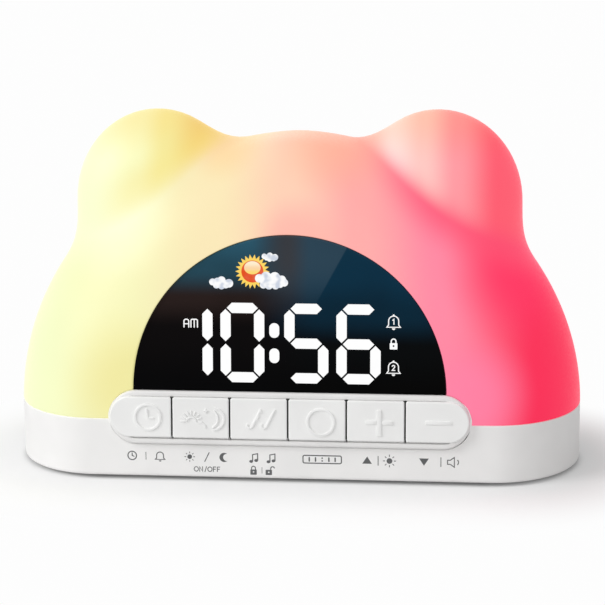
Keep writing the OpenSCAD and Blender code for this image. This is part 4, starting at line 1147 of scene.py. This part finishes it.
def labels():
    """Grey printed signs under the keys."""
    row, low, big = 7.2, 3.5, 1.22
    line = 0.27
    clock = [stroke(disc(0, 0, 1.05, 28), line, closed=True), stroke([(0, 0.65), (0, 0), (0.45, -0.2)], 0.24)]
    divider = [stroke([(0, -1.1), (0, 1.1)], 0.2)]
    slash = [stroke([(-0.55, -1.1), (0.55, 1.1)], 0.22)]
    head = arc(-0.62, -0.85, 0.46, 0, 360, 14, 0.8)[:-1]
    note = [[head], stroke([(-0.26, -0.8), (-0.26, 0.85), (0.95, 1.1), (0.95, -0.55)], 0.26),
            [[(x + 1.21, z + 0.25) for x, z in head]]]
    screen = [stroke(rounded(-4.6, 4.6, -0.95, 0.95, 0.4, 4), line, closed=True)]
    screen += [stroke([(x, -0.42), (x, 0.42)], 0.34, ends=3) for x in (-3.1, -1.6, 1.6, 3.1)]
    screen += [[disc(0, z, 0.2, 10)] for z in (-0.34, 0.34)]
    rise = [[[(-1.15, -0.8), (1.15, -0.8), (0, 1.0)]]]
    fall = [[[(-1.15, 0.8), (0, -1.0), (1.15, 0.8)]]]
    starts = (0, 1.12, 2.2, 2.85, 3.97, 4.8)
    switch = placed(*[(letter(which), at, 0) for at, which in zip(starts, "ON/OFF")])
    switch_h = 1.42
    rows = {
        "time": placed((clock, -46.3, row, big), (divider, -42.2, row), (bell_sign(), -38.0, row, big)),
        "sun_moon": placed((sun_sign(0.7, 8), -29.2, row), (slash, -24.1, row, big),
                           (crescent(1.4), -19.0, row),
                           (switch, -24.2 - 2.6 * switch_h, low - 0.7, switch_h)),
        "tunes": placed((note, -10.3, row, big), (note, -5.2, row, big), (padlock(), -10.4, low, 0.85),
                        (divider, -7.9, low, 0.8), (padlock(True), -5.9, low, 0.85)),
        "display": placed((screen, 9.8, row, big)),
        "up": placed((rise, 22.9, row, big), (divider, 26.1, row, big), (sun_sign(0.85, 8), 29.4, row)),
        "down": placed((fall, 39.4, row, big), (divider, 44.3, row, big), (speaker_sign(), 47.8, row, big)),
    }
    for name, shapes in rows.items():
        mesh_piece(f"label_{name}", *plates(shapes, 0.012, 0.03, on_wall), "grey_ink", slot="black_plastic")


def reliefs():
    """Raised signs on the keys."""
    sun_at = (-28.2, -0.9)
    half_sun = [stroke(arc(*sun_at, 1.35, 10, 170, 12), 0.5)]
    for number in range(9):
        a = radians(2 + 22 * number)
        ray = np.array([cos(a), sin(a)])
        half_sun.append(stroke([sun_at + 2.05 * ray, sun_at + 3.1 * ray], 0.42, ends=3))
    moon = [stroke(arc(-21.9, 0.1, 3.3, -85, 75, 18), 0.65), stroke(arc(-23.4, 0.1, 3.0, -60, 50, 14), 0.5),
            stroke(arc(-25.6, -2.6, 1.5, 5, 110, 10), 0.5), stroke([(-23.9, 1.9), (-23.9, 2.9)], 0.45),
            stroke([(-24.4, 2.4), (-23.4, 2.4)], 0.45)]
    slope = np.array([cos(radians(64)), sin(radians(64))])
    notes = [stroke([np.array(start), start + slope * length], 0.65)
             for start, length in (((-10.3, -1.9), 5.4), ((-6.2, -1.9), 5.4), ((-9.0, 0.2), 0.9))]
    notes += [stroke(arc(x, -1.7, 0.75, 150, 330, 8), 0.55) for x in (-11.1, -7.0)]
    notes.append(stroke([(-8.0, 3.0), (-7.7, 2.3)], 0.5))
    plus = [(26.5 - 0.7, 26.5 + 0.7, -4.1, 3.7), (22.6, 25.7, -0.7, 0.5), (27.3, 30.4, -0.7, 0.5)]
    minus = [(39.8, 47.3, -0.4, 0.7)]
    shapes = {
        "time": [stroke(disc(-41.1, 0.2, 3.75, 48), 0.75, closed=True),
                 stroke([(-41.1, 0.2), (-41.4, 2.5)], 0.6), stroke([(-40.6, 0.0), (-39.5, 0.0)], 0.5)],
        "sun_moon": half_sun + moon,
        "tunes": notes,
        "display": [stroke(disc(9.6, -0.35, 3.85, 48), 0.8, closed=True)],
        "up": [[rounded(*sides, 0.3, 3)] for sides in plus],
        "down": [[rounded(*sides, 0.3, 3)] for sides in minus],
    }

    def on_key(x, depth, up):
        return on_front(x, KEY_FACE + depth, up)

    for name, loops in shapes.items():
        mesh_piece(f"relief_{name}", *plates(loops, RELIEF_H, 0.1, on_key, rounding=0.12), "key_plastic",
                   slot="key_plastic", body=f"{name}_key")


shade()
base()
bezel()
for index, name in enumerate(KEYS):
    key(index, name)
window()
lit_marks()
weather_icon()
labels()
reliefs()


# -------- stage, light and camera

BACKGROUND = 0.985
# Light that reaches the clock from the room and the far floor
AMBIENT = 0.40
FAR_FLOOR = 0.5


def floor():
    reach = 6.0
    mesh = bpy.data.meshes.new("floor")
    mesh.from_pydata([(x, y, 0) for x, y in block(-reach, reach, -reach, reach)], [], [(0, 1, 2, 3)])
    piece = added("floor", mesh)
    own, lift = 0.80, 0.26
    paint = Paint("floor_white", "#ffffff", 0.9)
    x, y, _ = paint.axes()
    seen = paint.seen_rays()
    # distance from the clock's outline on the floor
    beside = paint.math("SUBTRACT", paint.math("ABSOLUTE", x), (BODY_W - BODY_D) / 2 * MM)
    folded = paint.node("CombineXYZ", paint.math("MAXIMUM", beside, 0.0), y).outputs[0]
    away = paint.math("SUBTRACT", paint.distance(folded, (0, PLACE_Y * MM, 0)), BODY_D / 2 * MM)
    # painted shadow on the floor: a soft shade all round, a dark line under the edge, and more shade at the
    # right
    level = paint.times(paint.spread_mm(away, 0, 35, 0.88, 1.0), paint.spread_mm(away, -5, 2, 0.3, 1.0))
    level = paint.times(level, paint.spread_mm(x, 45, 95, 1.0, 0.86))
    soft = paint.node("BsdfDiffuse", paint.grey(paint.times(level, own)))
    glow = paint.node("Emission", None, paint.times(paint.times(seen, lift), level))
    near = paint.node("AddShader", soft.outputs[0], glow.outputs[0])
    far = paint.node("Emission", None, paint.math("MULTIPLY_ADD", seen, BACKGROUND - FAR_FLOOR, FAR_FLOOR))
    blend = paint.node("MixShader", paint.spread_mm(away, 4, 42), near.outputs[0], far.outputs[0])
    paint.set(paint.tree.nodes["Material Output"].inputs["Surface"], blend.outputs[0])
    mesh.materials.append(MATERIALS["floor_white"])


def world():
    made = bpy.data.worlds.new("studio")
    bpy.context.scene.world = made
    made.use_nodes = True
    nodes = Nodes(made.node_tree)
    background = nodes.tree.nodes["Background"]
    background.inputs["Color"].default_value = (1, 1, 1, 1)
    level = nodes.math("MULTIPLY_ADD", nodes.seen_rays(), BACKGROUND - AMBIENT, AMBIENT)
    nodes.set(background.inputs["Strength"], level)


def lamp(name, place, size, watts):
    """Rectangular lamp in metres, turned to the clock's foot."""
    data = bpy.data.lights.new(name, "AREA")
    data.shape = "RECTANGLE"
    data.size, data.size_y = size
    data.energy = watts
    made = added(name, data)
    made.location = place
    made.rotation_mode = "QUATERNION"
    made.rotation_quaternion = (Vector((0, 0, 0.05)) - Vector(place)).to_track_quat("-Z", "Y")


def camera():
    """The camera that was fitted to the photo's outlines."""
    frame_px = 605
    focal_px = 1984.4
    centre_px = (298.6, 276.9)
    aim, distance = Vector((0, PLACE_Y, 55)), 600.0
    turn, height, roll = radians(6.13), radians(11.32), radians(-0.52)
    data = bpy.data.cameras.new("camera")
    data.sensor_width = 36
    data.lens = focal_px / frame_px * data.sensor_width
    data.shift_x = (frame_px / 2 - centre_px[0]) / frame_px
    data.shift_y = (centre_px[1] - frame_px / 2) / frame_px
    data.clip_start, data.clip_end = 0.01, 50
    made = added("camera", data)
    axes = Matrix.Rotation(turn, 4, "Z") @ Matrix.Rotation(pi / 2 - height, 4, "X")
    axes @= Matrix.Rotation(roll, 4, "Z")
    made.matrix_world = Matrix.Translation(aim * MM) @ axes @ Matrix.Translation((0, 0, distance * MM))
    bpy.context.scene.camera = made


floor()
world()
lamp("key_light", (-0.85, -0.45, 0.55), (0.5, 0.5), 5.8)
lamp("front_light", (0.1, -1.1, 0.45), (0.9, 0.5), 3.1)
lamp("top_light", (0, 0.1, 1.0), (0.8, 0.8), 1.4)
camera()
bpy.context.scene.view_settings.view_transform = "Standard"
